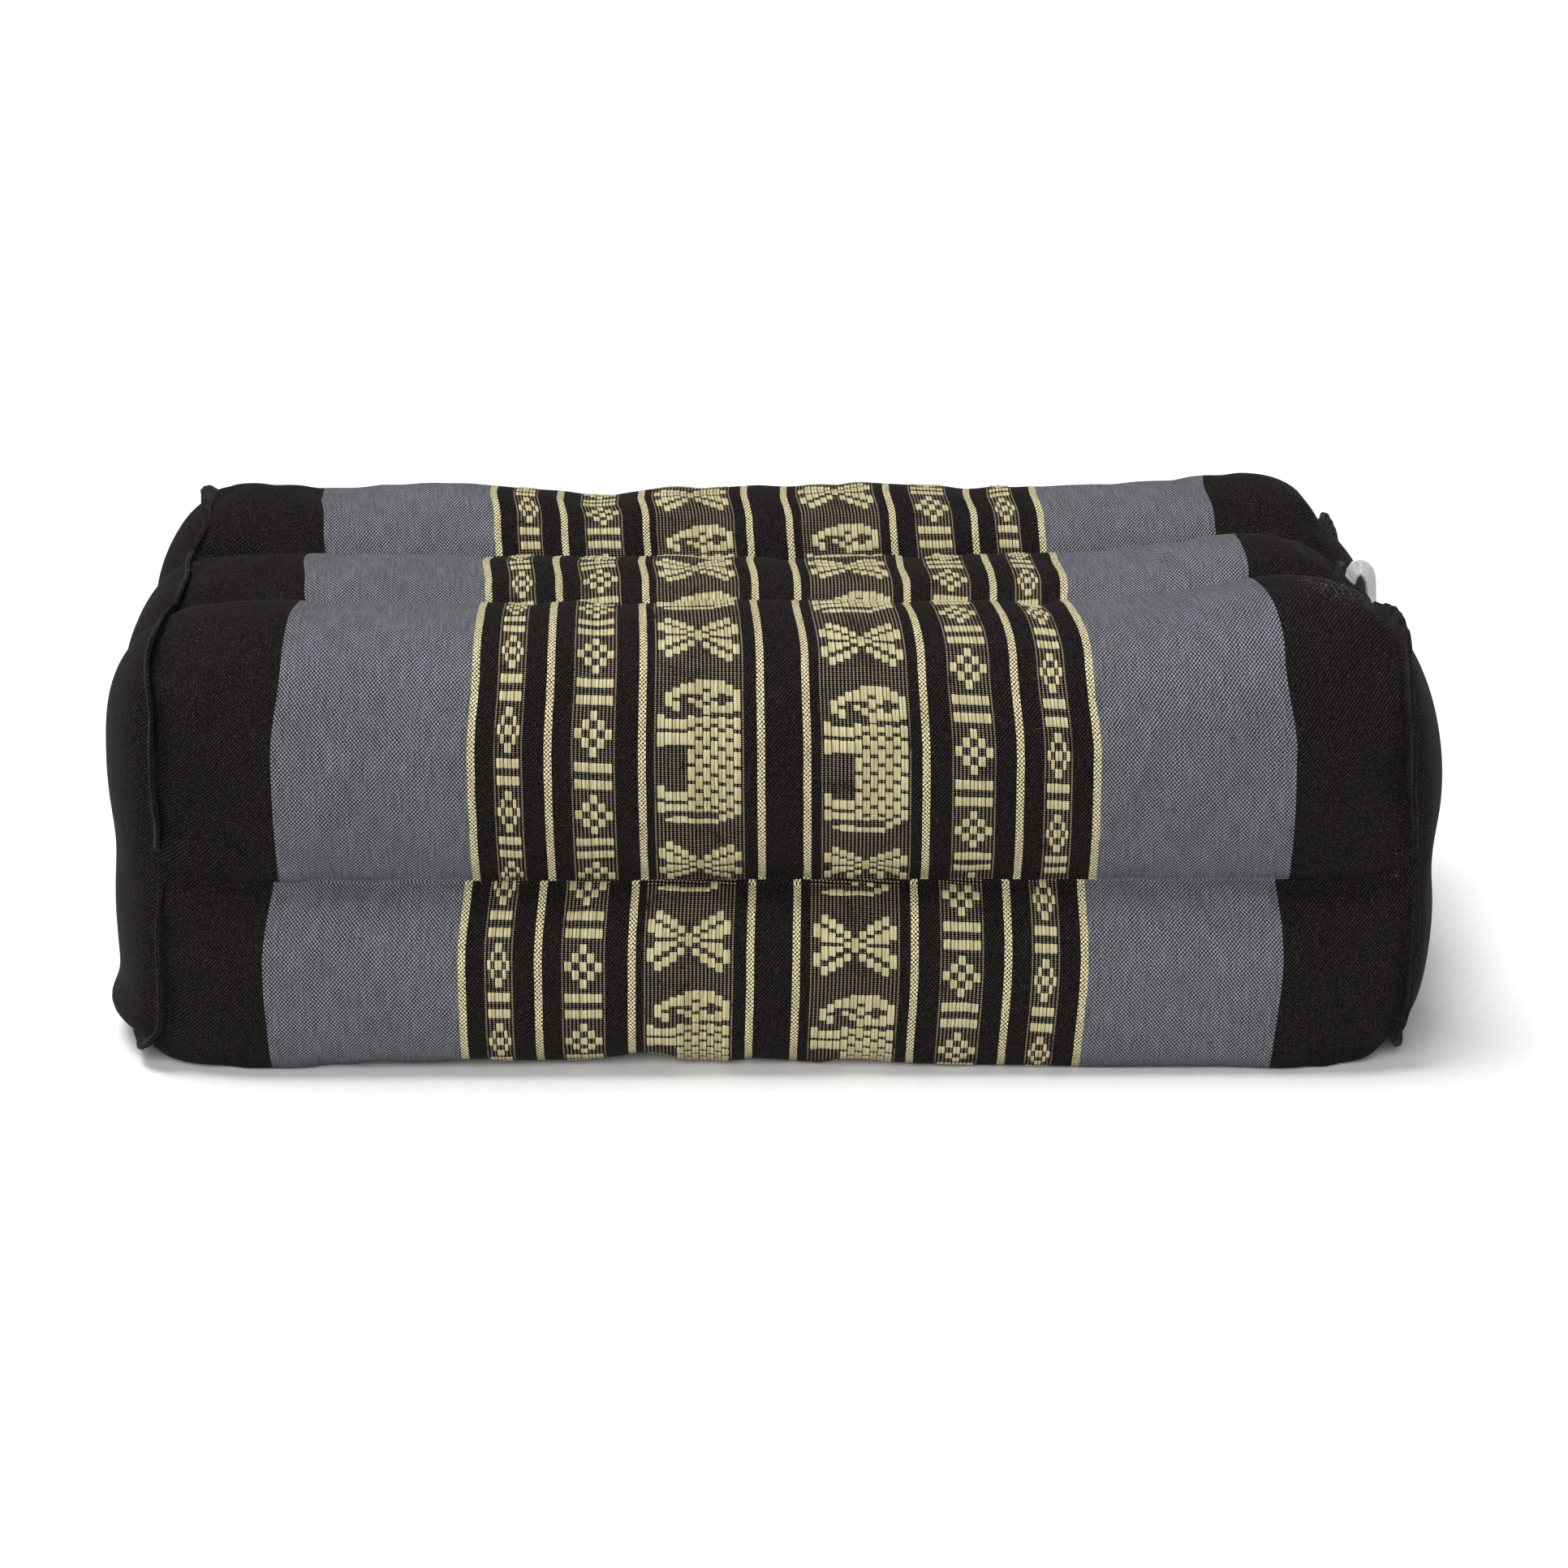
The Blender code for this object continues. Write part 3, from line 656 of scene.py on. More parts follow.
class Shader:
    """A material and short ways to add its nodes."""

    def __init__(self, name):
        self.mat = bpy.data.materials.new(name)
        self.mat.use_nodes = True
        self.nodes = self.mat.node_tree.nodes
        self.links = self.mat.node_tree.links
        self.surface = self.nodes["Principled BSDF"]

    def put(self, socket, value):
        if isinstance(value, bpy.types.NodeSocket):
            self.links.new(value, socket)
        elif value is not None:
            socket.default_value = value

    def fill(self, node, values):
        for socket, value in zip(node.inputs, values):
            self.put(socket, value)
        return node.outputs[0]

    def math(self, operation, *values):
        node = self.nodes.new("ShaderNodeMath")
        node.operation = operation
        return self.fill(node, values)

    def times(self, a, b):
        return self.math("MULTIPLY", a, b)

    def power(self, a, b):
        return self.math("POWER", a, b)

    def wave(self, value, pitch):
        """Bumps of this pitch, between 0 and 1."""
        return self.math("ABSOLUTE", self.math("SINE", self.times(value, pi / pitch)))

    def ramp(self, *values):
        """A smooth step: the value, its low and high ends, and what those turn into."""
        node = self.nodes.new("ShaderNodeMapRange")
        node.interpolation_type = "SMOOTHSTEP"
        return self.fill(node, values)

    def mix(self, factor, a, b, blend="MIX"):
        node = self.nodes.new("ShaderNodeMix")
        node.data_type = "RGBA"
        node.blend_type = blend
        for index, value in ((0, factor), (6, a), (7, b)):
            self.put(node.inputs[index], value)
        return node.outputs[2]

    def vector(self, *values):
        return self.fill(self.nodes.new("ShaderNodeCombineXYZ"), values)

    def noise(self, vector, scale=1.0, detail=2.0, roughness=0.5):
        node = self.nodes.new("ShaderNodeTexNoise")
        for name, value in (("Vector", vector), ("Scale", scale), ("Detail", detail),
                            ("Roughness", roughness)):
            self.put(node.inputs[name], value)
        return node.outputs["Fac"]

    def cloth_noise(self, a, a_scale, b, b_scale, detail=2.0, depth=0.0):
        """Noise over two coordinates of the cloth, each with its own scale."""
        return self.noise(self.vector(self.times(a, a_scale), self.times(b, b_scale), depth),
                          1.0, detail)

    def random(self, value):
        node = self.nodes.new("ShaderNodeTexWhiteNoise")
        node.noise_dimensions = "1D"
        self.put(node.inputs["W"], value)
        return node.outputs["Value"]

    def cloth_uv(self):
        node = self.nodes.new("ShaderNodeUVMap")
        node.uv_map = "cloth"
        split = self.nodes.new("ShaderNodeSeparateXYZ")
        self.links.new(node.outputs[0], split.inputs[0])
        return split.outputs[0], split.outputs[1]

    def place(self):
        return self.nodes.new("ShaderNodeTexCoord").outputs["Object"]

    def weighted(self, *pairs):
        """The sum of some sockets, each times its weight."""
        parts = [self.times(socket, weight) for socket, weight in pairs]
        return self.joined("ADD", parts)

    def joined(self, operation, values):
        """All values put together by one operation, from the first on."""
        total = values[0]
        for value in values[1:]:
            total = self.math(operation, total, value)
        return total

    def bump(self, height, distance, strength=1.0):
        node = self.nodes.new("ShaderNodeBump")
        for name, value in (("Strength", strength), ("Distance", distance), ("Height", height)):
            self.put(node.inputs[name], value)
        return node.outputs[0]

    def finish(self, colour, roughness, normal, sheen=0.0, sheen_roughness=0.5,
               sheen_tint=(1, 1, 1, 1), specular=0.3):
        for name, value in (("Base Color", colour), ("Roughness", roughness), ("Normal", normal),
                            ("Specular IOR Level", specular), ("Sheen Weight", sheen),
                            ("Sheen Roughness", sheen_roughness), ("Sheen Tint", sheen_tint)):
            self.put(self.surface.inputs[name], value)
        return self.mat


# ---- materials

BLACK_DEEP = (0.0010, 0.0008, 0.0009, 1)
BLACK_YARN = (0.0350, 0.0274, 0.0258, 1)
BROWN_SLUB = (0.0480, 0.0240, 0.0150, 1)
GREY_WEFT = (0.0075, 0.0075, 0.0095, 1)
GREY_YARN = (0.3000, 0.3030, 0.3400, 1)
CREAM_WEFT = (0.0160, 0.0130, 0.0070, 1)
CREAM_SHADE = (0.340, 0.295, 0.150, 1)
CREAM_YARN = (0.700, 0.635, 0.395, 1)
GAUZE_YARN = (0.340, 0.285, 0.185, 1)
FLOAT_SHADE = (0.270, 0.224, 0.100, 1)
FLOAT_LIGHT = (0.500, 0.458, 0.275, 1)
LINT = (0.160, 0.152, 0.145, 1)
WARM_SHEEN = (1.0, 0.92, 0.88, 1)

MotifColumn = namedtuple("MotifColumn", "name kind centre yarns")
MOTIF_COLUMNS = (
    MotifColumn("motifs_1", "narrow", -73.3 * MM, 6),
    MotifColumn("motifs_2", "wide", -50.7 * MM, 10),
    MotifColumn("motifs_3", "animals", -22.6 * MM, 22),
    MotifColumn("motifs_4", "animals", 21.8 * MM, 22),
    MotifColumn("motifs_5", "wide", 50.4 * MM, 10),
    MotifColumn("motifs_6", "narrow", 72.8 * MM, 6),
)


def weave(s, u, v, wander):
    """A plain weave: its yarn and pick counts, and its two diagonals between -1 and 1."""
    drift = s.cloth_noise(u, 260.0, v, 260.0, 1.0)
    drift = s.times(s.math("SUBTRACT", drift, 0.5), wander)
    yarn = s.math("ADD", s.math("DIVIDE", u, YARN), drift)
    pick = s.math("SUBTRACT", s.math("DIVIDE", v, PICK), drift)
    rising, falling = (s.math("COSINE", s.times(s.math(operation, yarn, pick), pi))
                       for operation in ("SUBTRACT", "ADD"))
    return yarn, pick, rising, falling


def fine_fibres(s, u, v):
    """Noise about as fine as the yarns' own fibres, drawn out along the picks' run."""
    return s.cloth_noise(u, 3800.0, v, 2100.0)


def black_cotton(s, v, weaving, fibre):
    """Black yarns with a painted highlight along their rising diagonal, and a few brownish slubs.
    """
    yarn, _, rising, falling = weaving
    streak = s.cloth_noise(yarn, 0.9, v, 190.0)
    pile = s.noise(s.place(), 1500.0, 2.0, 0.6)
    # Painted highlight: the rising diagonal weighs more than the falling one, as if light fell from
    # one side.
    tone = s.weighted((rising, 0.19), (falling, -0.08), (fibre, 1.1), (streak, 0.3), (pile, 0.9))
    tone = s.power(s.ramp(tone, 0.64, 1.70), 2.5)
    cloth = s.mix(tone, BLACK_DEEP, BLACK_YARN)
    slub = s.cloth_noise(yarn, 0.9, v, 240.0, 1.0, 4.0)
    slub = s.times(s.ramp(slub, 0.68, 0.82), s.ramp(pile, 0.42, 0.62, 0.0, 0.45))
    return s.mix(slub, cloth, BROWN_SLUB)


def woven_cover():
    """The striped plain weave of the cover."""
    s = Shader("woven cotton cover")
    u, v = s.cloth_uv()
    weaving = weave(s, u, v, 0.55)
    yarn, pick, rising, falling = weaving

    out = s.math("ABSOLUTE", yarn)
    grey = s.math("COMPARE", out, (GREY_FROM + GREY_TO) / 2, (GREY_TO - GREY_FROM) / 2)
    stripe = s.joined("MAXIMUM", [s.math("COMPARE", out, float(centre), STRIPE_YARNS / 2)
                                  for centre in STRIPE_CENTRES])

    fibre = fine_fibres(s, u, v)
    slub = s.cloth_noise(yarn, 0.8, v, 120.0)
    broad = s.cloth_noise(u, 420.0, v, 260.0)
    crossing = s.weighted((rising, 0.25), (falling, -0.25), (fibre, 1.15), (slub, 0.38),
                          (broad, 0.12))
    chambray = s.mix(s.power(s.ramp(crossing, 0.22, 1.54), 1.8), GREY_WEFT, GREY_YARN)
    cream = s.mix(s.ramp(fibre, 0.3, 0.6), CREAM_SHADE, CREAM_YARN)
    cream = s.mix(s.ramp(crossing, 0.52, 1.06), CREAM_WEFT, cream)
    cloth = s.mix(grey, black_cotton(s, v, weaving, fibre), chambray)
    cloth = s.mix(stripe, cloth, cream)

    # Between the motifs the float yarns show as dots in the ground, one to a pick.
    places = [s.math("COMPARE", u, column.centre, (column.yarns / 2 + 0.8) * FLOAT_YARN)
              for column in MOTIF_COLUMNS]
    gauze = s.joined("MAXIMUM", places)
    across = s.joined("ADD", [s.times(place, s.math("SUBTRACT", u, column.centre))
                              for place, column in zip(places, MOTIF_COLUMNS)])
    dots = s.times(s.power(s.wave(across, FLOAT_YARN), 4.0), s.power(s.wave(pick, 1), 2.5))
    patch = s.cloth_noise(u, 70.0, v, 130.0)
    strength = s.ramp(s.weighted((fibre, 0.7), (patch, 0.8), (broad, 0.5)), 0.68, 1.02)
    gauze = s.times(s.times(gauze, s.ramp(dots, 0.18, 0.75)), strength)
    cloth = s.mix(gauze, cloth, GAUZE_YARN)

    mottle = s.ramp(s.noise(s.place(), 48.0, 3.0), 0.3, 0.7, 0.95, 1.04)
    cloth = s.mix(1.0, cloth, s.vector(mottle, mottle, mottle), "MULTIPLY")
    cloth = s.mix(lint(s), cloth, LINT)
    normal = s.bump(crossing, 0.09 * MM, 0.5)
    return s.finish(cloth, 0.85, normal, sheen=0.014, sheen_roughness=0.45,
                    sheen_tint=WARM_SHEEN, specular=0.05)


# Where lint has gathered: on the right end of the front channel, its middle and its spread.
LINT_PLACE = (0.148, -0.055, 0.128)
LINT_SPREAD = 0.022


def lint(s):
    """A haze of pale specks, thickest on one shoulder."""
    place = s.place()
    away = s.nodes.new("ShaderNodeVectorMath")
    away.operation = "DISTANCE"
    s.fill(away, (place, LINT_PLACE))
    near = s.ramp(away.outputs["Value"], LINT_SPREAD * 0.2, LINT_SPREAD, 0.16, 0.0)
    specks = s.noise(place, 1700.0, 1.0)
    return s.ramp(s.math("ADD", specks, near), 0.74, 0.86, 0.0, 0.8)


def float_yarn():
    """Soft, slightly shiny yarn of the raised motifs."""
    s = Shader("float yarn")
    u, v = s.cloth_uv()
    fibre = s.cloth_noise(u, 9000.0, v, 420.0, 3.0)
    number = s.math("FLOOR", s.math("DIVIDE", u, FLOAT_YARN))
    tone = s.weighted((s.random(number), 0.2), (fibre, 0.8))
    colour = s.mix(s.ramp(tone, 0.25, 0.70), FLOAT_SHADE, FLOAT_LIGHT)
    return s.finish(colour, 0.6, s.bump(fibre, 0.06 * MM, 0.7), sheen=0.05, sheen_roughness=0.4)


def seam_cloth():
    """The black cloth of the seam allowances."""
    s = Shader("seam allowance cloth")
    u, v = s.cloth_uv()
    fibre = fine_fibres(s, u, v)
    cloth = black_cotton(s, v, weave(s, u, v, 0.9), fibre)
    normal = s.bump(s.noise(s.place(), 1300.0, 2.0), 0.20 * MM, 0.6)
    return s.finish(cloth, 0.85, normal, sheen=0.05, sheen_roughness=0.45,
                    sheen_tint=WARM_SHEEN, specular=0.05)


def tag_cloth():
    """Close white satin of the blank tag, thin enough to let some light through."""
    s = Shader("tag satin")
    u, v = s.cloth_uv()
    fibre = s.cloth_noise(u, 900.0, v, 6000.0)
    colour = s.mix(s.ramp(fibre, 0.3, 0.7), (0.680, 0.665, 0.740, 1), (0.800, 0.790, 0.850, 1))
    normal = s.bump(s.math("ADD", s.wave(v, 0.22 * MM), fibre), 0.03 * MM, 0.5)
    for name, value in (("Weight", 1.0), ("Scale", 4 * MM), ("Radius", (1, 1, 1))):
        s.put(s.surface.inputs["Subsurface " + name], value)
    return s.finish(colour, 0.5, normal, sheen=0.05)


# ---- the cover

def build_cover(grid, panels, arcs, mat):
    """One closed mesh: the ring of lobes and the two end panels."""
    rings = grid.shape[0]
    faces = [grid_quads(rings, RING_COUNT, wrap=True)]
    ring_uvs = np.empty((rings - 1, RING_COUNT, 4, 2))
    for channel, first in zip(CHANNELS, CHANNEL_STARTS):
        arc = arcs[channel.name][None, :]
        here = grid[:, channel_places(channel), 0]
        gather, shift = cloth_fit(channel, arc)
        uv = np.stack([(here - shift) / gather, cloth_pick(channel, arc, here) * PICK], axis=-1)
        cells = cell_corners(uv).reshape(rings - 1, channel.steps, 4, 2)
        ring_uvs[:, first:first + channel.steps] = cells
    uvs = [ring_uvs.reshape(-1, 2)]
    points = [grid.reshape(-1, 3)]
    total = rings * RING_COUNT
    border = panel_numbers()
    inside = border < 0
    for side, panel in panels:
        numbers = border + (0 if side < 0 else (rings - 1) * RING_COUNT)
        numbers[inside] = total + np.arange(inside.sum())
        points.append(panel[inside])
        total += int(inside.sum())
        turn = [1, 2, 3, 0] if side < 0 else [0, 3, 2, 1]
        uv = np.stack([panel[..., 1] + side * PANEL_CLOTH_AWAY, panel[..., 2]], axis=-1)
        faces.append(cell_corners(numbers)[:, turn])
        uvs.append(cell_corners(uv)[:, turn].reshape(-1, 2))
    return add_mesh("cushion_cover", np.concatenate(points), np.concatenate(faces), mat,
                    np.concatenate(uvs))


# ---- motif floats

# Charts count in picks along the cloth and in pairs of yarns across it. Each float is
# (pair, first pick, number of picks).
REPEAT = 114
BAR_REPEAT = 38
ANIMAL_PAIRS = 11
BUTTERFLY_START = 77
BUTTERFLY_HALF = (
    ((4, 7), (17, 7)),
    ((0, 5), (7, 7), (15, 7), (23, 5)),
    ((2, 5), (9, 5), (15, 5), (21, 5)),
    ((4, 5), (11, 3), (15, 3), (19, 5)),
    ((7, 4), (13, 3), (17, 4)),
    ((11, 7),),
)
# The elephant from the top of its head down: for each pair of yarns, from the trunk's side,
# (first pick, number of picks).
ELEPHANT_PICKS = 68
ELEPHANT_BODY_EVEN = ((17, 6), (24, 7), (32, 7), (40, 7), (48, 7), (56, 6))
ELEPHANT_BODY_ODD = ((18, 3), (22, 5), (28, 7), (36, 7), (44, 7), (52, 7))
ELEPHANT_LEGS = ((19, 5), (25, 6), (52, 5), (58, 4))
ELEPHANT = (
    ((17, 7), (25, 7), (49, 7), (57, 6)),
    ((7, 7),) + ELEPHANT_LEGS + ((65, 2),),
    ((5, 5), (11, 5)) + ELEPHANT_LEGS + ((64, 4),),
    ((3, 5),) + ELEPHANT_LEGS + ((64, 4),),
    ((2, 6), (9, 3)) + ELEPHANT_BODY_EVEN + ((65, 3),),
    ((0, 8), (10, 4)) + ELEPHANT_BODY_ODD + ((60, 2), (65, 3)),
    ((0, 5), (6, 5), (12, 5)) + ELEPHANT_BODY_EVEN + ((65, 3),),
    ((0, 9), (10, 6)) + ELEPHANT_BODY_ODD + ((60, 2), (65, 3)),
    ((0, 7), (12, 4)) + ELEPHANT_BODY_EVEN[:-1] + ((56, 5), (62, 4)),
    ((2, 6), (10, 6)) + ELEPHANT_BODY_ODD + ((60, 4),),
    ((4, 11),) + ELEPHANT_BODY_EVEN,
)


def elephant_chart():
    """Its floats, counted from its feet up as the cloth's picks run."""
    return [(pair, ELEPHANT_PICKS - first - length, length)
            for pair, floats in enumerate(ELEPHANT) for first, length in floats]


def butterfly_chart():
    """Both halves; the middle pair, which they share, comes once."""
    last = ANIMAL_PAIRS - 1
    return [(place, BUTTERFLY_START + first, length)
            for pair, floats in enumerate(BUTTERFLY_HALF) for first, length in floats
            for place in {pair, last - pair}]


BARS = ((15, 5), (23, 5))
DIAMOND_START = 30
DIAMOND_STEP = 4
DIAMOND_FLOAT = 5
# The yarns of each row of a diamond, in both kinds of column that have one.
DIAMONDS = {
    "narrow": ((2, 3), (1, 4), (0, 2, 3, 5), (1, 4), (2, 3)),
    "wide": ((4, 5), (2, 3, 6, 7), (0, 1, 4, 5, 8, 9), (2, 3, 6, 7), (4, 5)),
}


def diamond_chart(column):
    """Two bars and a diamond, in single yarns."""
    bars = [(yarn, first, length) for first, length in BARS for yarn in range(column.yarns)]
    return bars + [(yarn, DIAMOND_START + row * DIAMOND_STEP, DIAMOND_FLOAT)
                   for row, yarns in enumerate(DIAMONDS[column.kind]) for yarn in yarns]


def column_floats(column):
    """Floats of one repeat as arrays: U of the yarn's middle, first pick, last pick."""
    chart, repeat = [], REPEAT
    if column.kind == "animals":
        for pair, first, length in elephant_chart() + butterfly_chart():
            chart += [(2 * pair, first, length), (2 * pair + 1, first, length)]
    else:
        chart, repeat = diamond_chart(column), BAR_REPEAT
    yarn, first, length = np.array(chart, dtype=float).T
    u = column.centre + (yarn - (column.yarns - 1) / 2) * FLOAT_YARN
    u = u + np.where(yarn % 2 == 0, PAIR_DRAW, -PAIR_DRAW)
    return u, first, first + length, repeat


LOCATE_PASSES = 4                 # arc and x each depend a little on the other
SURFACE_PASSES = 2


class ClothMap:
    """Turns places on the cloth into points of the finished cover."""

    def __init__(self, grid, arcs):
        self.grid = grid
        self.normals = grid_normals(grid)
        self.arcs = arcs

    def locate(self, channel, u, pick):
        """Arc and x of places given across and along the cloth."""
        lay = LAYS[channel.name]
        x = u
        for _ in range(LOCATE_PASSES):
            arc = lay.arc * CM + (pick - lay.pick) * lay.pick_size * CM - row_offset(lay, x)
            gather, shift = cloth_fit(channel, arc)
            x = shift + gather * u
        return arc, x

    def surface(self, channel, arc, x):
        """Points and normals of the cover at arc and x, by interpolation in its grid."""
        places = channel_places(channel)
        around = np.interp(arc, self.arcs[channel.name], np.arange(channel.steps + 1.0))
        step = np.minimum(around.astype(int), channel.steps - 1)
        over = around - step
        before, after = places[step], places[step + 1]
        middle = self.grid[:, places[channel.steps // 2], 0]
        along = np.interp(x, middle, np.arange(len(middle)))
        for _ in range(SURFACE_PASSES):
            ring = np.clip(along.astype(int), 0, len(middle) - 2)
            here, there = (self.grid[row, before, 0] * (1 - over) + self.grid[row, after, 0] * over
                           for row in (ring, ring + 1))
            along = np.clip(ring + (x - here) / (there - here), 0, len(middle) - 1.001)
        ring = along.astype(int)
        past = (along - ring)[:, None]
        over = over[:, None]
        weights = (((1 - past) * (1 - over), ring, before), (past * (1 - over), ring + 1, before),
                   (past * over, ring + 1, after), ((1 - past) * over, ring, after))
        point, normal = (sum(weight * values[row, place] for weight, row, place in weights)
                         for values in (self.grid, self.normals))
        return point, unit(normal)


# Cross-sections of a float from end to end: share of its length, of its width and height.
FLOAT_SECTIONS = ((0.045, 0.90, 0.62), (0.20, 1.0, 1.0), (0.80, 1.0, 1.0), (0.955, 0.90, 0.62))
FLOAT_PROFILE = ((-1.0, 0.0), (-0.92, 0.66), (-0.45, 1.0), (0.45, 1.0), (0.92, 0.66), (1.0, 0.0))
FLOAT_TUCK = 0.12                 # picks by which a float's ends are drawn in
FLOAT_END_PLAY = 0.10             # picks by which its ends vary, and the share its width does
FLOAT_WIDTH_PLAY = 0.06
PICK_MARGIN = 20                  # picks past a channel's ends that may hold a repeat of it


def column_turns(column, cloth):
    """The floats of one column, all round: channel, and arrays of U, first and last pick."""
    chart_u, chart_from, chart_to, repeat = column_floats(column)
    for channel in CHANNELS:
        end = cloth.arcs[channel.name][-1]
        clear = [SEAM_CLEAR if seam.name in LAYER_SEAMS else GROOVE_CLEAR
                 for seam in channel_seams(channel)]
        pick_low = cloth_pick(channel, 0.0, 0.0) - PICK_MARGIN
        pick_high = cloth_pick(channel, end, 0.0) + PICK_MARGIN
        for turn in range(int(pick_low // repeat) - 1, int(pick_high // repeat) + 2):
            first, last = chart_from + turn * repeat, chart_to + turn * repeat
            reach = (cloth.locate(channel, chart_u, first)[0]
                     + cloth.locate(channel, chart_u, last)[0])
            keep = (reach > 2 * clear[0]) & (reach < 2 * (end - clear[1]))
            if keep.any():
                yield channel, chart_u[keep], first[keep], last[keep]


def build_floats(column, cloth, mat, rng):
    """All floats of one column of motifs, round the whole cushion, as one mesh."""
    points, faces, uvs, total = [], [], [], 0
    shape = float_faces(len(FLOAT_PROFILE), len(FLOAT_SECTIONS))
    for channel, u, begin, end in column_turns(column, cloth):
        count = len(u)
        jitter = rng.uniform(-1, 1, (3, count))
        begin = begin + FLOAT_TUCK + FLOAT_END_PLAY * jitter[0]
        end = end - FLOAT_TUCK + FLOAT_END_PLAY * jitter[1]
        width = FLOAT_WIDTH * (1 + FLOAT_WIDTH_PLAY * jitter[2]) / 2
        places = []
        for share, wide, tall in ((0.0, 0.0, 0.0),) + FLOAT_SECTIONS + ((1.0, 0.0, 0.0),):
            pick = begin + (end - begin) * share
            for across, up in FLOAT_PROFILE if wide else ((0.0, 0.0),):
                at_u = u + across * width * wide
                arc, x = cloth.locate(channel, at_u, pick)
                point, normal = cloth.surface(channel, arc, x)
                lift = -FLOAT_SINK + (FLOAT_HEIGHT + FLOAT_SINK) * up * tall
                point = point + normal * lift
                point[:, 2] = np.maximum(point[:, 2], FLOAT_CLEAR)
                places.append((point, np.stack([at_u, pick * PICK], axis=-1)))
        block, block_uv = (np.stack(parts, axis=1) for parts in zip(*places))
        number = total + np.arange(count)[:, None, None] * block.shape[1] + shape[None]
        points.append(block.reshape(-1, 3))
        faces.append(number.reshape(-1, 3))
        uvs.append(block_uv[:, shape].reshape(-1, 2))
        total += count * block.shape[1]
    return add_mesh(column.name, np.concatenate(points), np.concatenate(faces), mat,
                    np.concatenate(uvs))


def float_faces(ring, rows):
    """Triangles of one closed float: a tip, rows of its profile, and a tip."""
    triangles = []
    last = 1 + ring * rows
    for k in range(ring):
        after = (k + 1) % ring
        triangles.append((0, 1 + k, 1 + after))
        triangles.append((last, last - ring + after, last - ring + k))
        for row in range(rows - 1):
            a = 1 + row * ring
            b = a + ring
            triangles.append((a + k, b + k, b + after))
            triangles.append((a + k, b + after, a + after))
    return np.array(triangles)


# ---- end seams

FIN_STEP = 0.7 * MM               # spacing of an allowance's cross-sections
FIN_END_SHARE = 0.45              # its height at its very ends, and how soon it rises there
FIN_END_RISE = 14.0
FIN_WAVE_LENGTH = 17 * MM
FIN_RIPPLE_LENGTH = 4.2 * MM
FIN_STITCH = 2.6 * MM
FIN_STITCH_PULL = 0.35
FIN_HEIGHT_PLAY = (0.22, 0.20)    # what its long waves and its short ripples add
FIN_LEAN_PLAY = (2.2, 0.9)
FIN_WIDTH_PLAY = 0.25             # ripples alone
FIN_REST = 0.3 * MM               # no part of it lies lower
FIN_CLOTH_HEIGHT = 3.4            # in millimetres, as its cloth coordinates count it
FIN_END_PLACES = 4                # ring places left free between an allowance and a seam
# Height, sideways lean and wave of each allowance in millimetres, each row after its share of
# the way: over the top from the front seam, or underneath from the back one. Positive leans
# go towards the end panel.
FIN_SHAPES = {
    ("left", "upper"): ((0.0, 3.4, 1.4, 0.6), (0.10, 3.9, 2.6, 0.6), (0.24, 3.4, 2.6, 0.6),
                        (0.33, 2.2, 1.8, 0.4), (0.50, 2.0, 1.2, 0.5), (0.64, 1.6, -0.4, 0.5),
                        (0.73, 3.0, -2.8, 0.4), (0.80, 2.4, -1.8, 0.6), (1.0, 3.0, 0.4, 0.9)),
    ("left", "lower"): ((0.0, 3.0, 0.4, 0.8), (0.5, 3.0, 0.5, 0.8), (0.74, 3.6, -0.4, 0.9),
                        (0.9, 3.0, 0.8, 0.7), (1.0, 2.6, 0.4, 0.7)),
    ("right", "upper"): ((0.0, 3.8, 1.0, 0.8), (0.10, 4.3, 1.5, 0.9), (0.21, 4.4, 1.2, 1.0),
                         (0.275, 4.2, -0.6, 0.9), (0.33, 2.2, 0.8, 0.8), (0.50, 2.2, 0.6, 0.8),
                         (0.66, 2.6, 0.4, 0.9), (0.75, 3.2, 0.0, 0.9), (1.0, 3.0, 0.4, 0.9)),
    ("right", "lower"): ((0.0, 3.0, 0.4, 0.8), (0.5, 3.0, 0.5, 0.8), (0.72, 4.2, 0.2, 1.1),
                         (0.9, 3.0, 0.8, 0.8), (1.0, 2.8, 0.3, 0.7)),
}
# Cross-section of an allowance: across in millimetres, up as a share of its height. Two
# plies are folded in together, rolled over at the top and drawn in by a row of stitches.
FIN_PROFILE = (
    (-0.62, -0.30), (-0.60, 0.10), (-0.46, 0.34), (-0.60, 0.58), (-0.82, 0.78), (-0.80, 0.93),
    (-0.48, 1.02), (-0.10, 0.99), (0.10, 0.84), (0.22, 0.93), (0.52, 0.92), (0.72, 0.78),
    (0.60, 0.58), (0.46, 0.34), (0.62, 0.10), (0.66, -0.30),
)
STITCH_POINTS = (2, 13)


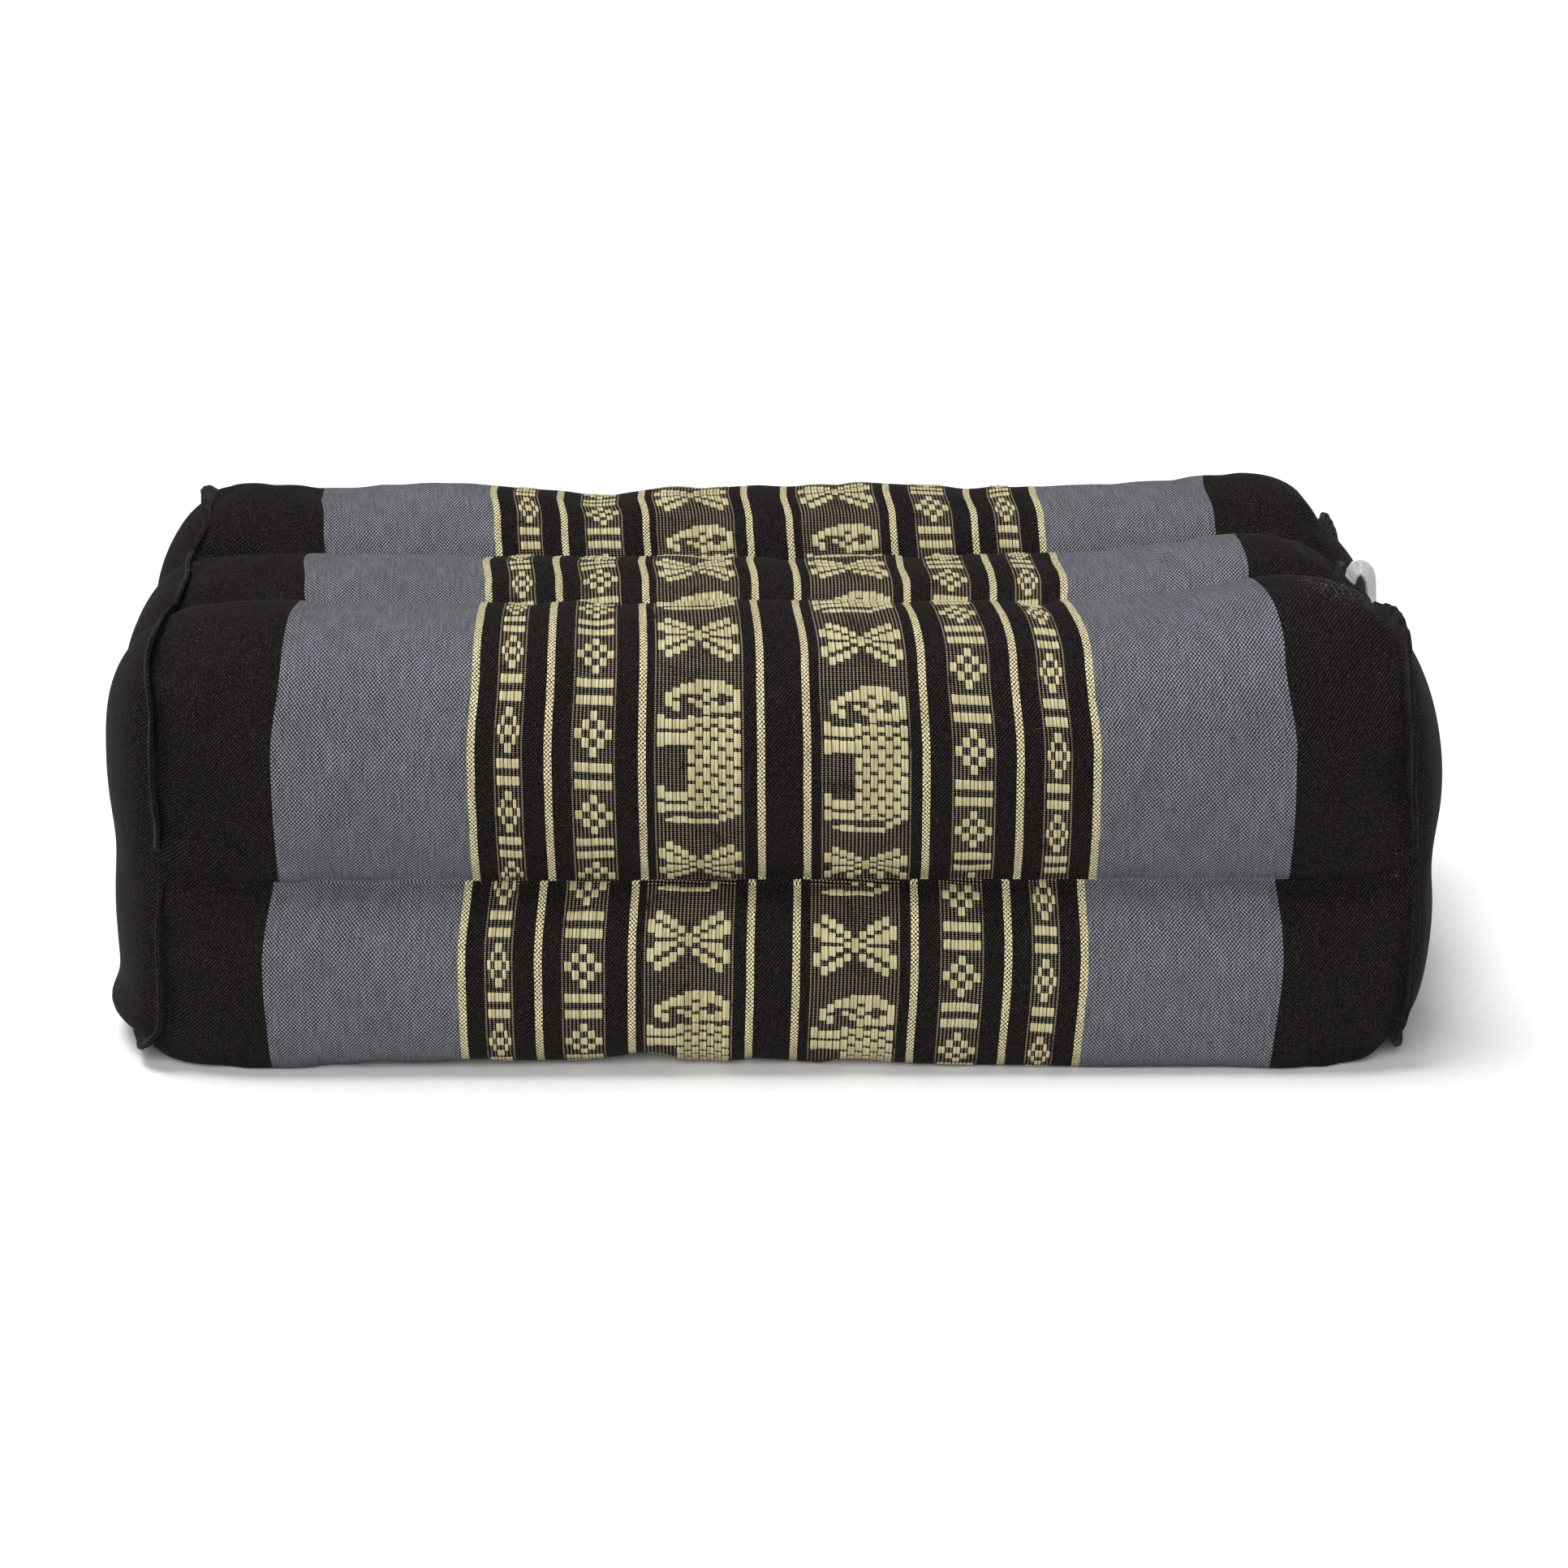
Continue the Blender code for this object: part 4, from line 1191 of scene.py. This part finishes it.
def build_fin(name, grid, side, layer, first, last, mat, seed):
    """A seam allowance that stands on a rim, from one place of the ring to another."""
    numbers = np.arange(first, last + 1) % RING_COUNT
    rim, along = rim_line(grid, side)
    path = run_length(rim[numbers])
    at = np.linspace(0, path[-1], int(path[-1] / FIN_STEP))
    rim, direction, along = (
        np.stack([np.interp(at, path, values[numbers, k]) for k in range(3)], axis=-1)
        for values in (rim, rim_directions(grid, side), along))
    direction = unit(direction)
    sideways = unit(np.cross(direction, unit(along))) * side
    share = at / at[-1]
    table = np.array(FIN_SHAPES[end_of(side).name, layer])
    height, lean, wave = (np.interp(share, table[:, 0], table[:, k]) * MM for k in (1, 2, 3))
    wobble, ripple = (np.array([noise.noise(Vector((a / length, seed, depth))) for a in at])
                      for length, depth in ((FIN_WAVE_LENGTH, 0.0), (FIN_RIPPLE_LENGTH, 5.0)))
    near_end = np.minimum(share, 1 - share)
    height = height * np.minimum(1, FIN_END_SHARE + near_end * FIN_END_RISE)
    height = height * (1 + FIN_HEIGHT_PLAY[0] * wobble + FIN_HEIGHT_PLAY[1] * ripple)
    lean = lean + wave * (FIN_LEAN_PLAY[0] * wobble + FIN_LEAN_PLAY[1] * ripple)
    stitch = 0.5 + 0.5 * np.cos(2 * pi * at / FIN_STITCH)
    rows = []
    for number, (across, up) in enumerate(FIN_PROFILE):
        wide = across * MM * (1 + FIN_WIDTH_PLAY * ripple)
        if number in STITCH_POINTS:
            wide = wide * (1 - FIN_STITCH_PULL * stitch)
        bend = lean * max(0.0, up) ** 1.5
        rows.append(rim + direction * (height * up)[:, None] + sideways * (wide + bend)[:, None])
    points = np.stack(rows, axis=1)
    points[..., 2] = np.maximum(points[..., 2], FIN_REST)
    tips = np.stack([points[0].mean(axis=0), points[-1].mean(axis=0)])
    girth = run_length(np.array(FIN_PROFILE) * (1.0, FIN_CLOTH_HEIGHT)) * MM
    uv = np.stack(np.broadcast_arrays(girth, at[:, None]), axis=-1)
    uv = np.concatenate([uv.reshape(-1, 2), [[0, 0], [0, at[-1]]]])
    steps, count = points.shape[:2]
    start, base = steps * count, (steps - 1) * count
    caps = []
    for k in range(count):
        after = (k + 1) % count
        caps += [(start, k, after), (start + 1, base + after, base + k)]
    quads = grid_quads(steps, count, wrap=True)
    faces = np.concatenate([quads[:, :3], quads[:, [0, 2, 3]], caps])
    points = np.concatenate([points.reshape(-1, 3), tips])
    return add_mesh(name, points, faces, mat, uv[faces].reshape(-1, 2))


# ---- tag

# The tag's middle line at its middle, from the seam over to its fold, in millimetres before
# centring: X, Z, and how far its front edge is turned out and its back edge in.
TAG_LINE = ((159.8, 110.6, 0.0), (160.2, 113.4, -0.1), (161.2, 115.4, -0.4), (162.8, 115.9, -1.0),
            (164.3, 115.0, -1.6), (165.3, 113.4, -2.0), (165.8, 111.4, -2.2), (166.0, 109.0, -2.3),
            (166.2, 106.4, -2.2), (166.5, 103.8, -2.1))
TAG_WIDTH = 15 * MM
TAG_MIDDLE_Y = 6 * MM
TAG_PLY = 0.24 * MM
TAG_GAP = 0.12 * MM
TAG_COLUMNS = 12


def thick_sheet(name, points, normals, thickness, mat, uvs):
    """A closed solid from a grid of points: the sheet's two faces and its edges."""
    outward = normals * thickness / 2
    both = np.stack([points + outward, points - outward]).reshape(-1, 3)
    numbers = np.arange(points[..., 0].size).reshape(points.shape[:2])
    quads = cell_corners(numbers)
    edge = np.concatenate([numbers[:, 0], numbers[-1, 1:], numbers[-2::-1, -1],
                           numbers[0, -2:0:-1]])
    after = np.roll(edge, -1)
    count = numbers.size
    rim = np.stack([edge, edge + count, after + count, after], axis=-1)
    faces = np.concatenate([quads, quads[:, ::-1] + count, rim[:, ::-1]])
    flat = np.concatenate([uvs.reshape(-1, 2)] * 2)
    return add_mesh(name, both, faces, mat, flat[faces].reshape(-1, 2))


def build_tag(mat):
    """A folded tag sewn in the right end seam at the middle channel: one strip, doubled."""
    x, z, turn = np.array(TAG_LINE).T * MM
    line = np.stack([x, z], axis=-1)
    step = unit(np.gradient(line, axis=0))
    offset = (TAG_GAP + TAG_PLY) / 2
    outward = np.stack([-step[:, 1], step[:, 0]], axis=-1) * offset
    fold = line[-1:] + step[-1:] * offset
    path = np.concatenate([line + outward, fold, (line - outward)[::-1]])
    across = np.linspace(-1, 1, TAG_COLUMNS)
    turned = np.concatenate([turn, turn[-1:], turn[::-1]])[:, None] * across[None]
    y = TAG_MIDDLE_Y + across * TAG_WIDTH / 2
    path_step = unit(np.gradient(path, axis=0))
    run = run_length(path)

    def spread(*columns):
        return np.stack([np.broadcast_to(column, turned.shape) for column in columns], axis=-1)

    points = spread(path[:, :1] - turned, y, path[:, 1:])
    normals = spread(-path_step[:, 1:], 0.0, path_step[:, :1])
    uvs = spread(y, run[:, None])
    return thick_sheet("tag_strip", points, normals, TAG_PLY, mat, uvs), float(run[-1])


# ---- stage, light and camera

FLOOR_HALF = 6.0


def build_stage():
    """A wide paper floor and an even grey-white sky."""
    s = Shader("studio paper")
    grain = s.noise(s.place(), 400.0, 2.0)
    colour = s.mix(s.ramp(grain, 0.2, 0.8), (0.77, 0.77, 0.77, 1), (0.80, 0.80, 0.80, 1))
    mat = s.finish(colour, 0.95, s.bump(grain, 0.05 * MM, 0.2), specular=0.1)
    corners = [(x * FLOOR_HALF, y * FLOOR_HALF, 0) for x, y in ((-1, -1), (1, -1), (1, 1), (-1, 1))]
    floor = add_mesh("floor", corners, [(0, 1, 2, 3)], mat)
    world = bpy.data.worlds.new("studio")
    world.use_nodes = True
    background = world.node_tree.nodes["Background"]
    background.inputs["Color"].default_value = (0.97, 0.985, 1.03, 1)
    background.inputs["Strength"].default_value = 0.27
    bpy.context.scene.world = world


def add_aimed(name, data, place, direction, axis):
    """A lamp or camera at a place, with this axis of its own turned in a direction."""
    obj = bpy.data.objects.new(name, data)
    obj.location = place
    obj.rotation_euler = direction.to_track_quat(axis, "Y").to_euler()
    bpy.context.scene.collection.objects.link(obj)
    return obj


def sun_light(name, azimuth, elevation, strength, softness):
    """A far, broad lamp: azimuth to the right of the camera's side, all angles in degrees."""
    data = bpy.data.lights.new(name, "SUN")
    data.energy = strength
    data.angle = radians(softness)
    around, up = radians(azimuth), radians(elevation)
    towards = Vector((sin(around) * cos(up), -cos(around) * cos(up), sin(up)))
    add_aimed(name, data, towards * 3, towards, "Z")


CAMERA_PLACE = (-0.0066, -1.1000, 0.4219)
CAMERA_TARGET = (0.0030, 0.0, 0.0538)
FOCAL_PIXELS = 5000
IMAGE_PIXELS = 1932
SENSOR = 36.0


def build_camera():
    data = bpy.data.cameras.new("camera")
    data.sensor_width = SENSOR
    data.lens = FOCAL_PIXELS / IMAGE_PIXELS * SENSOR
    data.clip_start = 0.05
    data.clip_end = 50
    aim = Vector(CAMERA_TARGET) - Vector(CAMERA_PLACE)
    bpy.context.scene.camera = add_aimed("camera", data, CAMERA_PLACE, aim, "-Z")


# ---- main

def main():
    rng = np.random.default_rng(7)
    grid = cover_grid()
    panels = [(side, panel_grid(grid[0 if side < 0 else -1], side)) for side in (-1, 1)]
    arcs = channel_arcs(grid)
    folds = simulated_folds(grid)
    grid, panels = pinch_rims(uneven_cover(grid, arcs, folds), panels)
    cloth = ClothMap(grid, arcs)
    cover = build_cover(grid, panels, arcs, woven_cover())
    cover.location.x = CENTRING
    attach(cover, "root")
    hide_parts("cushion_body")

    yarn_mat = float_yarn()
    for column in MOTIF_COLUMNS:
        piece = build_floats(column, cloth, yarn_mat, rng)
        piece.parent = cover

    seam_mat = seam_cloth()
    half = RING_COUNT // 2
    for end in ENDS:
        for layer, first in (("upper", FIN_END_PLACES), ("lower", half + FIN_END_PLACES)):
            node = f"end_seam_{end.name}_{layer}"
            fin = build_fin(node + "_cloth", grid, end.side, layer, first,
                            first + half - 2 * FIN_END_PLACES, seam_mat, 3.7 * end.side + first)
            fin.parent = cover
            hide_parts(node)

    tag, tag_length = build_tag(tag_cloth())
    tag.parent = cover
    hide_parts("care_tag")


bpy.context.scene.view_settings.view_transform = "Standard"
build_stage()
sun_light("top", azimuth=-88, elevation=76, strength=2.85, softness=30)
sun_light("front", azimuth=-9, elevation=32, strength=2.35, softness=36)
build_camera()
main()
